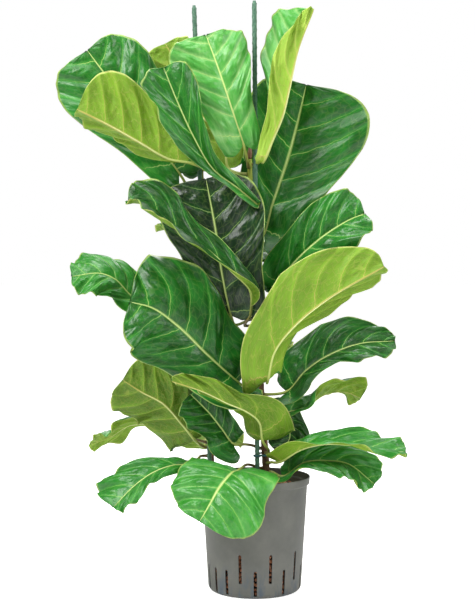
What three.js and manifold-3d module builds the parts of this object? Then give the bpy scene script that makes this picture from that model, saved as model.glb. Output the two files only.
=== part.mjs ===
// Potted fiddle leaf fig: a young plant of two stems in a slotted nursery pot filled with clay pellets.
// Millimetres, +Z up, the origin at the centre of the pot's underside. The plant's open side faces -Y.
import * as THREE from "three";
import { mergeVertices } from "three/addons/utils/BufferGeometryUtils.js";
import Module from "manifold-3d";

const wasm = await Module();
wasm.setup();

// The gap left between pieces that touch.
const GAP = 0.4;

// Pot: a thin tapering cup with a turned-out band at its rim and slots round its lower wall.
const POT_HEIGHT = 185;
const RIM_RADIUS = 90;
const RIM_BAND = 12.5;
const RIM_STEP = 4;
const BODY_TOP_RADIUS = RIM_RADIUS - RIM_STEP;
const BODY_BASE_RADIUS = 75;
const POT_WALL = 1.8;
const POT_FLOOR = 2.4;
const BASE_CORNER = 9;
const RIM_EDGE = 1;
const POT_SIDES = 40;
const CORNER_STEPS = 3;
const SLOT_COUNT = 20;
const SLOT_WIDTH = 5;
const LOW_SLOT = { bottom: 5, top: 45 };
const HIGH_SLOT = { bottom: 25, top: 71 };
const HIGH_SLOTS = [1, 3, 7, 9, 13, 19];
const SLOT_ARC_STEPS = 4;

// Clay pellets: the fill, up to this far below the rim, heaped a little in the middle.
const FILL_BELOW_RIM = 17;
const FILL_CROWN = 4;
const FILL_SHOULDER = 0.8;

// Stems and the two stakes that hold them up. Heights of the leaves' nodes are measured from the rim.
const STEM_SIDES = 10;
const STEM_ROOT = -125;
const MAIN_STEM = { base: 6.2, tip: 4.0, reach: [[20, 0], [19, 0], [9, 0], [-3, 0], [-7, 2], [-8, 4]] };
const MAIN_HEIGHTS = [STEM_ROOT, 5, 155, 315, 415, 515];
const SECOND_STEM = { base: 5.6, tip: 3.6, reach: [[-58, 28], [-72, 34], [-78, 35], [-84, 36], [-88, 36]] };
const SECOND_HEIGHTS = [STEM_ROOT, 15, 215, 375, 515];
const STAKE_RADIUS = 4.2;
const STAKE_TOP = 767;
const STAKE_FOOT = -120;
const FRONT_STAKE = { foot: [5, -15], top: [-1, -15] };
const REAR_STAKE = { foot: [-69, 18], top: [-99, 21] };

// The wire clip that ties the main stem to its stake.
const CLIP_WIRE = 1.1;
const CLIP_RING = 17;
const CLIP_ABOVE_RIM = 34;
const WIRE_SIDES = 8;
const RING_SIDES = 28;

// Buds: the profile of a sheath, as shares of its radius and of its length.
const BUD_LENGTH = 26;
const BUD_RADIUS = 4.4;
const BUD_PROFILE = [[0, 0], [0.75, 0], [1, 0.3], [0.6, 0.7], [0, 1]];

// Leaves: the blade's outline, as fiddle-shaped stations from the base to the tip. Each station is one
// side vein: where it leaves the midrib, and how far along and how far out it meets the margin, as
// shares of the blade's length and of its half width.
const BLADE = [
  [0.0, -0.01, 0.06],
  [0.005, -0.06, 0.28],
  [0.015, -0.055, 0.5],
  [0.04, 0.035, 0.66],
  [0.08, 0.17, 0.72],
  [0.13, 0.31, 0.74],
  [0.2, 0.46, 0.8],
  [0.29, 0.6, 0.92],
  [0.39, 0.72, 1.0],
  [0.5, 0.82, 1.0],
  [0.62, 0.91, 0.93],
  [0.75, 0.97, 0.79],
  [0.88, 1.0, 0.56],
  [0.985, 1.005, 0.2],
];
// How much of a side vein's way forward comes late, near the margin.
const VEIN_CURVE = 0.4;
const LEAF_THICKNESS = 1.3;
const LEAF_SIDES = 10;
const LINE_STEPS = 16;
const PETIOLE_RADIUS = 2.6;
const PETIOLE_FOOT = 6;
const PETIOLE_NECK = 4;
const RIB_DEPTH = 4.2;
const RIB_DEPTH_TIP = 1.2;

// A leaf's row: the stem and the height of its node above the rim; its midrib's points from the blade's
// base to its tip, from the node; the way its upper side faces at the base and at the tip; the half
// widths of its left and right sides at the base, the middle and the tip, seen from above with the tip
// ahead; how far each side folds up at the base and at the tip, and how far it curls up from midrib to
// margin, in degrees. A stalk's points, where there are any, lead its petiole round its neighbours.
const LEAVES = [
  { name: "crown_left", stem: "second", node: 455, stalk: [[-16, -10, 6]],
    rib: [[-35, -40, 35], [-65, -40, 75], [-125, -40, 155], [-185, -35, 235]],
    up: [[0, -0.95, 0.3], [-0.1, -1, 0.2]], half: [[60, 84, 86], [80, 84, 70]],
    fold: [[10, 6], [5, 5]], curl: [-15, -15] },
  { name: "crown_left_front", stem: "second", node: 505, stalk: [[14, -8, -6], [4, -34, -4]],
    rib: [[-20, -85, 0], [-50, -95, 5], [-95, -105, 30], [-140, -110, 55], [-190, -115, 80]],
    up: [[-0.35, 0.85, 0.35], [-0.35, 0.85, 0.35]], half: [[80, 80, 80], [46, 46, 46]],
    fold: [[0, 60], [0, 55]], curl: [10, 10] },
  { name: "crown_curled", stem: "main", node: 423, stalk: [[18, -12, 4]],
    rib: [[10, -50, 15], [-20, -65, 40], [-60, -80, 70], [-90, -90, 120], [-115, -90, 175],
      [-135, -90, 225]],
    up: [[-0.5, -0.7, 0.5], [0.1, -0.95, 0.3]], half: [[18, 36, 68], [12, 26, 46]],
    fold: [[35, 40], [30, 5]], curl: [10, 5] },
  { name: "crown_face", stem: "main", node: 503,
    rib: [[-10, -40, 30], [-25, -50, 75], [-50, -50, 150], [-70, -40, 205]],
    up: [[0, -0.97, 0.25], [0.1, -0.9, 0.4]], half: [[58, 66, 76], [44, 50, 64]],
    fold: [[8, 8], [5, 5]], curl: [-10, -10] },
  { name: "crown_behind", stem: "main", node: 491,
    rib: [[-35, 20, 10], [-45, 30, 60], [-85, 45, 105], [-115, 50, 170], [-140, 50, 220]],
    up: [[-0.2, 0.95, 0.2], [-0.2, 0.95, 0.2]], half: [[50, 52, 52], [30, 44, 52]],
    fold: [[15, 15], [10, 10]], curl: [10, 10] },
  { name: "crown_right", stem: "main", node: 507, stalk: [[16, -6, 4]],
    rib: [[20, -50, 0], [35, -55, 35], [50, -60, 70], [60, -60, 110], [75, -55, 175], [100, -50, 240]],
    up: [[-0.95, 0.3, 0.1], [-0.9, 0.2, 0.3]], half: [[24, 62, 100], [18, 46, 14]],
    fold: [[62, 64], [50, 58]], curl: [5, -10] },
  { name: "upper_right", stem: "main", node: 387,
    rib: [[20, 15, 5], [35, 20, 55], [60, 20, 130], [75, 20, 185], [90, 15, 250]],
    up: [[-0.1, -0.9, 0.45], [-0.1, -1, 0.2]], half: [[88, 92, 90], [85, 115, 118]],
    fold: [[8, 8], [5, 5]], curl: [-12, -12] },
  { name: "centre_dark", stem: "main", node: 255, stalk: [[-34, -24, -8]],
    rib: [[-40, -30, 5], [-55, -40, 75], [-65, -40, 145], [-80, -30, 225]],
    up: [[-0.25, -0.92, 0.3], [-0.15, -0.94, 0.25]], half: [[56, 76, 92], [90, 92, 74]],
    fold: [[12, 12], [5, 5]], curl: [-10, -10] },
  { name: "centre_diagonal", stem: "main", node: 245, stalk: [[-17, -8, 0], [-17, -28, 6], [-8, -54, 24]],
    rib: [[-10, -75, 60], [-35, -90, 85], [-80, -90, 125], [-125, -95, 155], [-170, -95, 190],
      [-200, -95, 195]],
    up: [[0.2, -0.6, 0.75], [0.1, -0.7, 0.7]], half: [[62, 56, 54], [26, 34, 50]],
    fold: [[28, 20], [38, 20]], curl: [10, 0] },
  { name: "middle_left", stem: "main", node: 145, stalk: [[-20, -6, 0]],
    rib: [[-35, -40, 10], [-85, -55, 55], [-130, -70, 100], [-170, -85, 130], [-205, -90, 140]],
    up: [[-0.2, -0.85, 0.5], [-0.3, -0.9, 0.4]], half: [[80, 84, 78], [82, 98, 92]],
    fold: [[8, 5], [0, 0]], curl: [-12, -12] },
  { name: "far_left", stem: "second", node: 285,
    rib: [[-75, -15, 0], [-115, -25, 5], [-145, -40, 35], [-170, -45, 45], [-215, -50, 40]],
    up: [[0, -0.7, 0.7], [0, -0.6, 0.8]], half: [[52, 52, 52], [52, 52, 52]],
    fold: [[10, 10], [5, 5]], curl: [-20, -20] },
  { name: "middle_right", stem: "main", node: 270,
    rib: [[40, -5, 25], [50, -15, 60], [70, -20, 85], [110, -30, 120], [150, -35, 145], [175, -30, 155]],
    up: [[-0.2, -0.8, 0.55], [-0.2, -0.8, 0.55]], half: [[55, 55, 52], [46, 64, 48]],
    fold: [[30, 10], [25, 10]], curl: [5, -10] },
  { name: "right_pale", stem: "main", node: 155, stalk: [[8, -16, 2]],
    rib: [[10, -65, 5], [20, -75, 50], [50, -80, 90], [105, -85, 135], [190, -95, 185]],
    up: [[-0.35, 0.8, 0.45], [-0.35, 0.8, 0.45]], half: [[46, 42, 34], [68, 92, 44]],
    fold: [[20, 0], [20, 40]], curl: [5, 5] },
  { name: "front_bowl", stem: "main", node: 39, stalk: [[6, -16, 4]],
    rib: [[-5, -45, 25], [-10, -60, 55], [-30, -85, 75], [-60, -105, 90], [-100, -115, 110],
      [-145, -120, 125]],
    up: [[0.1, 0.8, 0.6], [0.2, 0.7, 0.7]], half: [[86, 30, 16], [56, 40, 28]],
    fold: [[5, 30], [40, 40]], curl: [10, 10] },
  { name: "lower_left_pale", stem: "second", node: 43, stalk: [[-16, -10, 4]],
    rib: [[-25, -30, 15], [-45, -35, 40], [-75, -45, 75], [-110, -50, 95], [-140, -55, 115]],
    up: [[-0.2, 0.85, 0.5], [-0.2, 0.85, 0.5]], half: [[73, 66, 59], [77, 70, 63]],
    fold: [[10, 10], [10, 10]], curl: [10, 10] },
  { name: "lower_left_dark", stem: "main", node: 45, stalk: [[-15, -2, 3], [-30, -16, 8]],
    rib: [[-50, -25, 10], [-70, -25, 35], [-90, -25, 60], [-120, -25, 90]],
    up: [[0.2, -0.9, 0.4], [0.2, -0.9, 0.4]], half: [[57, 50, 42], [39, 34, 29]],
    fold: [[10, 30], [10, 25]], curl: [0, 0] },
  { name: "far_left_arch", stem: "second", node: 51,
    rib: [[-60, 30, 10], [-100, 30, 25], [-135, 25, 25], [-170, 20, 5], [-200, 10, -5]],
    up: [[0.1, 0.35, 0.93], [-0.3, 0.35, 0.9]], half: [[42, 42, 42], [42, 42, 42]],
    fold: [[5, 5], [5, 5]], curl: [-20, -20] },
  { name: "left_drooping", stem: "second", node: 29, stalk: [[-16, -8, 0], [-20, -36, 0]],
    rib: [[-30, -60, -5], [-60, -80, -5], [-90, -90, -15], [-120, -105, -35], [-150, -120, -65]],
    up: [[-0.3, -0.6, 0.75], [-0.6, -0.7, 0.3]], half: [[20, 28, 28], [18, 46, 68]],
    fold: [[5, 10], [5, 5]], curl: [-10, -15] },
  { name: "front_over_rim", stem: "main", node: 13, stalk: [[-15, 1, 2], [-30, -14, 8]],
    rib: [[-45, -55, 5], [-55, -80, 5], [-75, -105, -15], [-90, -115, -40], [-105, -120, -65]],
    up: [[-0.1, -0.6, 0.8], [-0.2, -0.95, 0.3]], half: [[105, 98, 72], [108, 90, 56]],
    fold: [[5, 5], [0, 0]], curl: [-18, -18] },
  { name: "right_glossy", stem: "main", node: 133,
    rib: [[40, -10, 5], [70, -30, 40], [105, -40, 65], [155, -50, 85], [210, -60, 90]],
    up: [[-0.2, -0.75, 0.6], [-0.2, -0.75, 0.6]], half: [[60, 66, 16], [42, 32, 36]],
    fold: [[15, 10], [15, 10]], curl: [0, -10] },
  { name: "right_twisted", stem: "main", node: 103,
    rib: [[35, 5, 0], [70, 0, 10], [100, -5, 30], [135, -10, 35], [160, -10, 25]],
    up: [[0, -0.5, 0.86], [0, 0.6, 0.8]], half: [[42, 42, 42], [45, 45, 45]],
    fold: [[10, 10], [10, 10]], curl: [0, 0] },
  { name: "right_hanging", stem: "main", node: 83,
    rib: [[25, 20, 20], [40, 25, 0], [45, 30, -25], [30, 30, -50]],
    up: [[0.3, -0.8, 0.5], [0.2, -0.95, -0.2]], half: [[36, 36, 36], [36, 36, 36]],
    fold: [[15, 15], [10, 10]], curl: [0, 0] },
  { name: "right_arching", stem: "main", node: 23, stalk: [[8, -16, 2]],
    rib: [[20, -35, 5], [55, -65, 30], [90, -80, 40], [125, -90, 40], [170, -100, 35], [215, -100, 30]],
    up: [[-0.1, 0.2, 0.97], [0.1, -0.3, 0.95]], half: [[53, 46, 39], [37, 32, 27]],
    fold: [[48, 35], [5, 0]], curl: [0, -5] },
  { name: "right_low", stem: "main", node: 7,
    rib: [[25, -15, -5], [60, -35, 20], [100, -50, 25], [130, -55, 20], [170, -65, -10]],
    up: [[0, -0.5, 0.86], [0.4, -0.6, 0.7]], half: [[38, 38, 38], [38, 38, 38]],
    fold: [[30, 5], [20, 5]], curl: [0, 0] },
  { name: "crown_back", stem: "second", node: 501, stalk: [[14, 12, 4]],
    rib: [[-5, 25, 10], [5, 40, 55], [15, 50, 105], [25, 55, 160]],
    up: [[0, -0.9, 0.4], [0, -0.9, 0.4]], half: [[55, 55, 55], [55, 55, 55]],
    fold: [[10, 10], [5, 5]], curl: [-10, -10] },
  { name: "back_right", stem: "main", node: 335,
    rib: [[0, 35, 15], [15, 90, 40], [30, 150, 60], [35, 210, 60]],
    up: [[0, -0.3, 0.95], [0, 0.3, 0.95]], half: [[75, 75, 75], [75, 75, 75]],
    fold: [[10, 10], [5, 5]], curl: [-15, -15] },
  { name: "back_left", stem: "second", node: 375,
    rib: [[-5, 30, 10], [-10, 75, 30], [-15, 125, 35], [-20, 180, 30]],
    up: [[0, -0.3, 0.95], [0, 0.3, 0.95]], half: [[72, 72, 72], [72, 72, 72]],
    fold: [[10, 10], [5, 5]], curl: [-15, -15] },
  { name: "back_middle", stem: "main", node: 199,
    rib: [[-5, 35, 0], [-5, 90, 10], [-10, 150, 10], [-10, 210, -5]],
    up: [[0, -0.3, 0.95], [0, 0.3, 0.95]], half: [[75, 75, 75], [75, 75, 75]],
    fold: [[10, 10], [5, 5]], curl: [-15, -15] },
  { name: "back_low", stem: "second", node: 65,
    rib: [[0, 30, -10], [-5, 75, -5], [-10, 125, -20], [-15, 170, -50]],
    up: [[0, -0.3, 0.95], [0, 0.35, 0.93]], half: [[68, 68, 68], [68, 68, 68]],
    fold: [[10, 10], [5, 5]], curl: [-15, -15] },
];

// Colours and roughnesses of the finishes.
const FINISHES = {
  leafUpper: [0x2f7a35, 0.4],
  leafPale: [0x8aa84a, 0.5],
  bark: [0x5a3a28, 0.8],
  budSheath: [0x5a2a35, 0.6],
  potPlastic: [0x6f706a, 0.55],
  stakePlastic: [0x3f6b57, 0.5],
  clay: [0x8a5a44, 0.95],
  clipWire: [0x1f4f52, 0.5],
};

const plant = new THREE.Group();

function material(finish) {
  const [color, roughness] = FINISHES[finish];
  return new THREE.MeshStandardMaterial({ color, roughness });
}

function addPart(name, geometry, finish) {
  const mesh = new THREE.Mesh(geometry, material(finish));
  mesh.name = name;
  plant.add(mesh);
  return mesh;
}

const radians = THREE.MathUtils.degToRad;

// Booleans.

function solidOf(geometry) {
  const bare = geometry.clone();
  for (const name of Object.keys(bare.attributes)) {
    if (name !== "position") bare.deleteAttribute(name);
  }
  const merged = mergeVertices(bare, 1e-3);
  return new wasm.Manifold(
    new wasm.Mesh({
      numProp: 3,
      vertProperties: new Float32Array(merged.attributes.position.array),
      triVerts: new Uint32Array(merged.index.array),
    }),
  );
}

function geometryOf(solid) {
  const mesh = solid.getMesh();
  const geometry = new THREE.BufferGeometry();
  geometry.setAttribute("position", new THREE.BufferAttribute(mesh.vertProperties, 3));
  geometry.setIndex(new THREE.BufferAttribute(mesh.triVerts, 1));
  return geometry;
}

function lathe(points, sides) {
  const profile = points.map(([radius, z]) => new THREE.Vector2(radius, z));
  return new THREE.LatheGeometry(profile, sides).rotateX(Math.PI / 2);
}

// Pot.

// The body's outer radius at a height.
function bodyRadius(z) {
  const share = z / (POT_HEIGHT - RIM_BAND);
  return THREE.MathUtils.lerp(BODY_BASE_RADIUS, BODY_TOP_RADIUS, share);
}

// The points of a rounded bottom corner of a cup, from the floor up to the wall.
function cornerPoints(inset, floorZ) {
  const radius = BASE_CORNER - inset;
  const points = [];
  for (let i = 0; i <= CORNER_STEPS; i++) {
    const turn = (i / CORNER_STEPS) * (Math.PI / 2);
    const across = bodyRadius(BASE_CORNER) - BASE_CORNER + radius * Math.sin(turn);
    points.push([across, floorZ + radius * (1 - Math.cos(turn))]);
  }
  return points;
}

const BAND_BOTTOM = POT_HEIGHT - RIM_BAND;
const INNER_TOP_RADIUS = RIM_RADIUS - POT_WALL;

// The inner wall's profile, from the floor's centre up to the rim.
function innerProfile(gap) {
  const corner = cornerPoints(POT_WALL + gap, POT_FLOOR + gap);
  const step = BAND_BOTTOM + POT_WALL;
  return [[0, POT_FLOOR + gap], ...corner, [bodyRadius(BAND_BOTTOM) - POT_WALL - gap, step]];
}

const outerProfile = [
  [0, 0],
  ...cornerPoints(0, 0),
  [bodyRadius(BAND_BOTTOM), BAND_BOTTOM],
  [RIM_RADIUS - RIM_EDGE, BAND_BOTTOM + RIM_EDGE],
  [RIM_RADIUS, POT_HEIGHT - RIM_EDGE],
  [RIM_RADIUS - POT_WALL / 2, POT_HEIGHT],
];
const potProfile = [
  ...outerProfile,
  [INNER_TOP_RADIUS, POT_HEIGHT - RIM_EDGE],
  [INNER_TOP_RADIUS - RIM_EDGE, BAND_BOTTOM + POT_WALL + RIM_EDGE],
  ...innerProfile(0).reverse(),
];

// A slot's cutter: an upright bar with a round top, through the wall at an angle from the front.
function slotCutter(turn, { bottom, top }) {
  const half = SLOT_WIDTH / 2;
  const shape = new THREE.Shape();
  shape.moveTo(-half, bottom);
  shape.lineTo(half, bottom);
  shape.lineTo(half, top - half);
  shape.absarc(0, top - half, half, 0, Math.PI);
  shape.closePath();
  const inner = BODY_BASE_RADIUS - 2 * BASE_CORNER;
  const cutter = new THREE.ExtrudeGeometry(shape, {
    depth: RIM_RADIUS - inner,
    bevelEnabled: false,
    curveSegments: SLOT_ARC_STEPS,
  });
  return cutter.rotateX(Math.PI / 2).translate(0, -inner, 0).rotateZ(turn);
}

let pot = solidOf(lathe(potProfile, POT_SIDES));
for (let i = 0; i < SLOT_COUNT; i++) {
  const turn = (i / SLOT_COUNT) * 2 * Math.PI;
  pot = pot.subtract(solidOf(slotCutter(turn, HIGH_SLOTS.includes(i) ? HIGH_SLOT : LOW_SLOT)));
}
addPart("pot", geometryOf(pot), "potPlastic");

// Stems and stakes.

// A closed skin over rings of points, each ring with as many points as the last, and a flat cap at each
// end that joins the first half of its ring to the second.
function skin(rings) {
  const count = rings[0].length;
  const corners = rings.flat();
  const faces = [];
  const quad = (a, b, c, d) => faces.push(a, b, c, a, c, d);
  for (let r = 0; r + 1 < rings.length; r++) {
    for (let i = 0; i < count; i++) {
      const next = (i + 1) % count;
      const [a, b] = [r * count + i, r * count + next];
      // The far half splits its quads the way the near half does, so a twisted blade keeps its thickness.
      if (i < count / 2) quad(a, b, b + count, a + count);
      else quad(b, b + count, a + count, a);
    }
  }
  const last = (rings.length - 1) * count;
  for (let i = 0; i < count / 2 - 1; i++) {
    const far = count - 1 - i;
    quad(i, far, far - 1, i + 1);
    quad(last + i, last + i + 1, last + far - 1, last + far);
  }
  const geometry = new THREE.BufferGeometry();
  const places = corners.flatMap((point) => point.toArray());
  geometry.setAttribute("position", new THREE.Float32BufferAttribute(places, 3));
  geometry.setIndex(faces);
  return geometry;
}

// A level ring round a centre, turning anticlockwise seen from above.
function levelRing(centre, radius) {
  const ring = [];
  for (let i = 0; i < STEM_SIDES; i++) {
    const turn = (2 * Math.PI * i) / STEM_SIDES;
    ring.push(new THREE.Vector3(radius * Math.cos(turn), radius * Math.sin(turn), 0).add(centre));
  }
  return ring;
}

function stemOf({ base, tip, reach }, heights) {
  const points = reach.map(([x, y], i) => new THREE.Vector3(x, y, POT_HEIGHT + heights[i]));
  const top = points[points.length - 1].z;
  const radiusAt = (z) => THREE.MathUtils.mapLinear(z, POT_HEIGHT, top, base, tip);
  const centreAt = (z) => {
    let i = 1;
    while (i < points.length - 1 && points[i].z < z) i++;
    const share = (z - points[i - 1].z) / (points[i].z - points[i - 1].z);
    return points[i - 1].clone().lerp(points[i], share);
  };
  return { points, radiusAt, centreAt };
}

const stems = {
  main: stemOf(MAIN_STEM, MAIN_HEIGHTS),
  second: stemOf(SECOND_STEM, SECOND_HEIGHTS),
};
const stakes = [
  ["stake_front", FRONT_STAKE],
  ["stake_rear", REAR_STAKE],
].map(([name, { foot, top }]) => ({
  name,
  points: [
    new THREE.Vector3(foot[0], foot[1], POT_HEIGHT + STAKE_FOOT),
    new THREE.Vector3(top[0], top[1], POT_HEIGHT + STAKE_TOP),
  ],
}));

function stemGeometry(points, radiusAt) {
  return skin(points.map((centre) => levelRing(centre, radiusAt(Math.max(centre.z, POT_HEIGHT)))));
}

for (const [name, stem] of Object.entries(stems)) {
  addPart(`${name}_stem`, stemGeometry(stem.points, stem.radiusAt), "bark");
}
for (const stake of stakes) {
  addPart(stake.name, stemGeometry(stake.points, () => STAKE_RADIUS), "stakePlastic");
}

// Clay pellets: one fill, with a socket round each stem and stake.
const fillTop = POT_HEIGHT - FILL_BELOW_RIM;
const fillEdge = bodyRadius(fillTop) - POT_WALL - GAP;
const fillProfile = [
  ...innerProfile(GAP).slice(0, -1),
  [fillEdge, fillTop],
  [fillEdge / 2, fillTop + FILL_CROWN * FILL_SHOULDER],
  [0, fillTop + FILL_CROWN],
];
let pellets = solidOf(lathe(fillProfile, POT_SIDES));
for (const { points, radiusAt } of Object.values(stems)) {
  const socket = stemGeometry(points.slice(0, 2), () => radiusAt(POT_HEIGHT) + GAP);
  socket.translate(0, 0, -GAP);
  pellets = pellets.subtract(solidOf(socket));
}
for (const { points } of stakes) {
  const socket = stemGeometry(points, () => STAKE_RADIUS + GAP);
  socket.translate(0, 0, -GAP);
  pellets = pellets.subtract(solidOf(socket));
}
addPart("clay_pellets", geometryOf(pellets), "clay");

// The clip: a wire ring round the main stem, joined to a small ring round its stake.
function wireRing(radius, centre) {
  const section = [];
  for (let i = 0; i <= WIRE_SIDES; i++) {
    const turn = (i / WIRE_SIDES) * 2 * Math.PI;
    section.push([radius + CLIP_WIRE * Math.cos(turn), CLIP_WIRE * Math.sin(turn)]);
  }
  return solidOf(lathe(section, RING_SIDES).translate(centre.x, centre.y, centre.z));
}

const clipZ = POT_HEIGHT + CLIP_ABOVE_RIM;
const [frontFoot, frontTop] = stakes[0].points;
const stakeAtClip = frontFoot.clone().lerp(frontTop, (clipZ - frontFoot.z) / (frontTop.z - frontFoot.z));
const smallRing = STAKE_RADIUS + GAP + CLIP_WIRE;
const toStem = stems.main.centreAt(clipZ).sub(stakeAtClip).setZ(0).normalize();
const ringCentre = stakeAtClip.clone().addScaledVector(toStem, CLIP_RING + smallRing);
const clip = wireRing(CLIP_RING, ringCentre).add(wireRing(smallRing, stakeAtClip));
addPart("stem_clip", geometryOf(clip), "clipWire");

// Buds: a pointed sheath over each stem's growing tip.
for (const [name, stem] of Object.entries(stems)) {
  const top = stem.points[stem.points.length - 1];
  const profile = BUD_PROFILE.map(([out, up]) => [BUD_RADIUS * out, BUD_LENGTH * up]);
  const bud = lathe(profile, STEM_SIDES).translate(top.x, top.y, top.z + GAP);
  addPart(`${name}_bud`, bud, "budSheath");
}

// Leaves.

// A smooth line through points, measured by its length, and run on straight past both ends.
function smoothLine(points) {
  const curve = new THREE.CatmullRomCurve3(points);
  const samples = curve.getPoints((points.length - 1) * LINE_STEPS);
  const lengths = [0];
  for (let i = 1; i < samples.length; i++) {
    lengths.push(lengths[i - 1] + samples[i].distanceTo(samples[i - 1]));
  }
  const total = lengths[lengths.length - 1];
  const wayAt = (i) => {
    const before = samples[Math.max(i - 1, 0)];
    const after = samples[Math.min(i + 1, samples.length - 1)];
    return after.clone().sub(before).normalize();
  };
  const at = (length) => {
    let i = 1;
    while (i < samples.length - 1 && lengths[i] < length) i++;
    const share = (length - lengths[i - 1]) / (lengths[i] - lengths[i - 1]);
    const point = samples[i - 1].clone().lerp(samples[i], share);
    const way = wayAt(i - 1).lerp(wayAt(i), THREE.MathUtils.clamp(share, 0, 1));
    return { point, tangent: way.normalize() };
  };
  const lengthTo = (index) => lengths[index * LINE_STEPS];
  return { at, lengthTo, total };
}

function makeLeaf(row) {
  const stem = stems[row.stem];
  const nodeZ = POT_HEIGHT + row.node;
  const centre = stem.centreAt(nodeZ);
  const rib = row.rib.map((p) => new THREE.Vector3(...p).add(centre));
  const stalk = (row.stalk ?? []).map((p) => new THREE.Vector3(...p).add(centre));
  const away = (stalk[0] ?? rib[0]).clone().sub(centre).setZ(0).normalize();
  const start = centre.clone().addScaledVector(away, stem.radiusAt(nodeZ) + 2 * GAP);
  const line = smoothLine([start, start.clone().addScaledVector(away, PETIOLE_FOOT), ...stalk, ...rib]);
  const bladeStart = line.lengthTo(2 + stalk.length);
  const bladeLength = line.total - bladeStart;
  const up = row.up.map((v) => new THREE.Vector3(...v).normalize());

  // The frame at a share of the blade's length: the point, the way on, up from the face, and right.
  const frameAt = (share) => {
    const { point, tangent } = line.at(bladeStart + share * bladeLength);
    const face = up[0].clone().lerp(up[1], THREE.MathUtils.clamp(share, 0, 1));
    face.addScaledVector(tangent, -face.dot(tangent)).normalize();
    return { point, tangent, face, right: tangent.clone().cross(face) };
  };

  // A point of the blade's upper face and its under face. Side is -1 for left and 1 for right.
  const bladePoints = (station, side, out) => {
    const [onRib, onMargin, width] = station;
    const share = onRib + (onMargin - onRib) * THREE.MathUtils.lerp(out, out * out, VEIN_CURVE);
    const { point, face, right } = frameAt(share);
    const which = side < 0 ? 0 : 1;
    const mix = THREE.MathUtils.clamp(share, 0, 1);
    const [atBase, atMiddle, atTip] = row.half[which];
    const half = mix < 0.5
      ? THREE.MathUtils.lerp(atBase, atMiddle, mix / 0.5)
      : THREE.MathUtils.lerp(atMiddle, atTip, (mix - 0.5) / 0.5);
    const reach = width * out * half;
    const fold = radians(THREE.MathUtils.lerp(row.fold[0][which], row.fold[1][which], mix));
    const curl = radians(row.curl[which]) / atMiddle;
    const middle = fold + (curl * reach) / 2;
    const upper = point.clone().addScaledVector(right, side * reach * Math.cos(middle));
    upper.addScaledVector(face, reach * Math.sin(middle));
    const slope = fold + curl * reach;
    const normal = face.clone().multiplyScalar(Math.cos(slope));
    normal.addScaledVector(right, -side * Math.sin(slope));
    return { upper, under: upper.clone().addScaledVector(normal, -LEAF_THICKNESS) };
  };

  const rings = [];
  for (const length of [0, PETIOLE_FOOT / 2, bladeStart / 2, bladeStart - PETIOLE_NECK]) {
    const { point, tangent } = line.at(length);
    const face = up[0].clone().addScaledVector(tangent, -up[0].dot(tangent)).normalize();
    const right = tangent.clone().cross(face);
    const ring = [];
    for (let i = 0; i < LEAF_SIDES; i++) {
      const turn = Math.PI - (2 * Math.PI * (i + 0.5)) / LEAF_SIDES;
      ring.push(
        point
          .clone()
          .addScaledVector(right, PETIOLE_RADIUS * Math.cos(turn))
          .addScaledVector(face, PETIOLE_RADIUS * Math.sin(turn) - PETIOLE_RADIUS),
      );
    }
    rings.push(ring);
  }
  for (const station of BLADE) {
    const across = [
      [-1, 1],
      [-1, 0.5],
      [1, 0],
      [1, 0.5],
      [1, 1],
    ].map(([side, out]) => bladePoints(station, side, out));
    const { point, face } = frameAt(station[0]);
    const depth = THREE.MathUtils.lerp(RIB_DEPTH, RIB_DEPTH_TIP, station[0]);
    const under = across.map((pair) => pair.under);
    under[2] = point.clone().addScaledVector(face, -depth);
    rings.push([...across.map((pair) => pair.upper), ...under.reverse()]);
  }
  return skin(rings);
}

for (const row of LEAVES) {
  const pale = row.up[0][1] > 0;
  addPart(`leaf_${row.name}`, makeLeaf(row), pale ? "leafPale" : "leafUpper");
}

export default plant;
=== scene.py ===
import math
import random

import bmesh
import bpy
import numpy as np
from mathutils import Matrix, Vector, noise


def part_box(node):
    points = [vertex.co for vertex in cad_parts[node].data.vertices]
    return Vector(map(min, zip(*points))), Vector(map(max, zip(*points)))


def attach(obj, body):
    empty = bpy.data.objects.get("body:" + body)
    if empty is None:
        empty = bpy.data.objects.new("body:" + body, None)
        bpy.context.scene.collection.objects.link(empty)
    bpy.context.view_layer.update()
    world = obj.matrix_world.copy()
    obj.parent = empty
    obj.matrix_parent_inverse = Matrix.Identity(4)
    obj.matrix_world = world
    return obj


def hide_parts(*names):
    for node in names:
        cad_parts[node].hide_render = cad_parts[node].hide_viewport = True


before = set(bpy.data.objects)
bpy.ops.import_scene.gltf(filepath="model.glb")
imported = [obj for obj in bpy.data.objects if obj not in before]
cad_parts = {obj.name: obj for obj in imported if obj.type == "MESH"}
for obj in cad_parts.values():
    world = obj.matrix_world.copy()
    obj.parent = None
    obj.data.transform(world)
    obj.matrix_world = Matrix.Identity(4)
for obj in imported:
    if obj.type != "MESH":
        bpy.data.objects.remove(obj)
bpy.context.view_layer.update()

# ---------------------------------------------------------------------------------------------------
# Stage: a pale floor, a soft white surround and four soft boxes, with the camera at sitting height in
# front of the plant, level with its middle.

MM = 0.001
FLOOR_HALF = 60.0
scene = bpy.context.scene
scene.view_settings.view_transform = "Standard"


def srgb(code):
    """A colour written as an sRGB hex value, as linear red, green, blue and alpha."""
    parts = [int(code[i:i + 2], 16) / 255 for i in (1, 3, 5)]
    linear = [c / 12.92 if c <= 0.04045 else ((c + 0.055) / 1.055) ** 2.4 for c in parts]
    return (*linear, 1.0)


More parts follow.
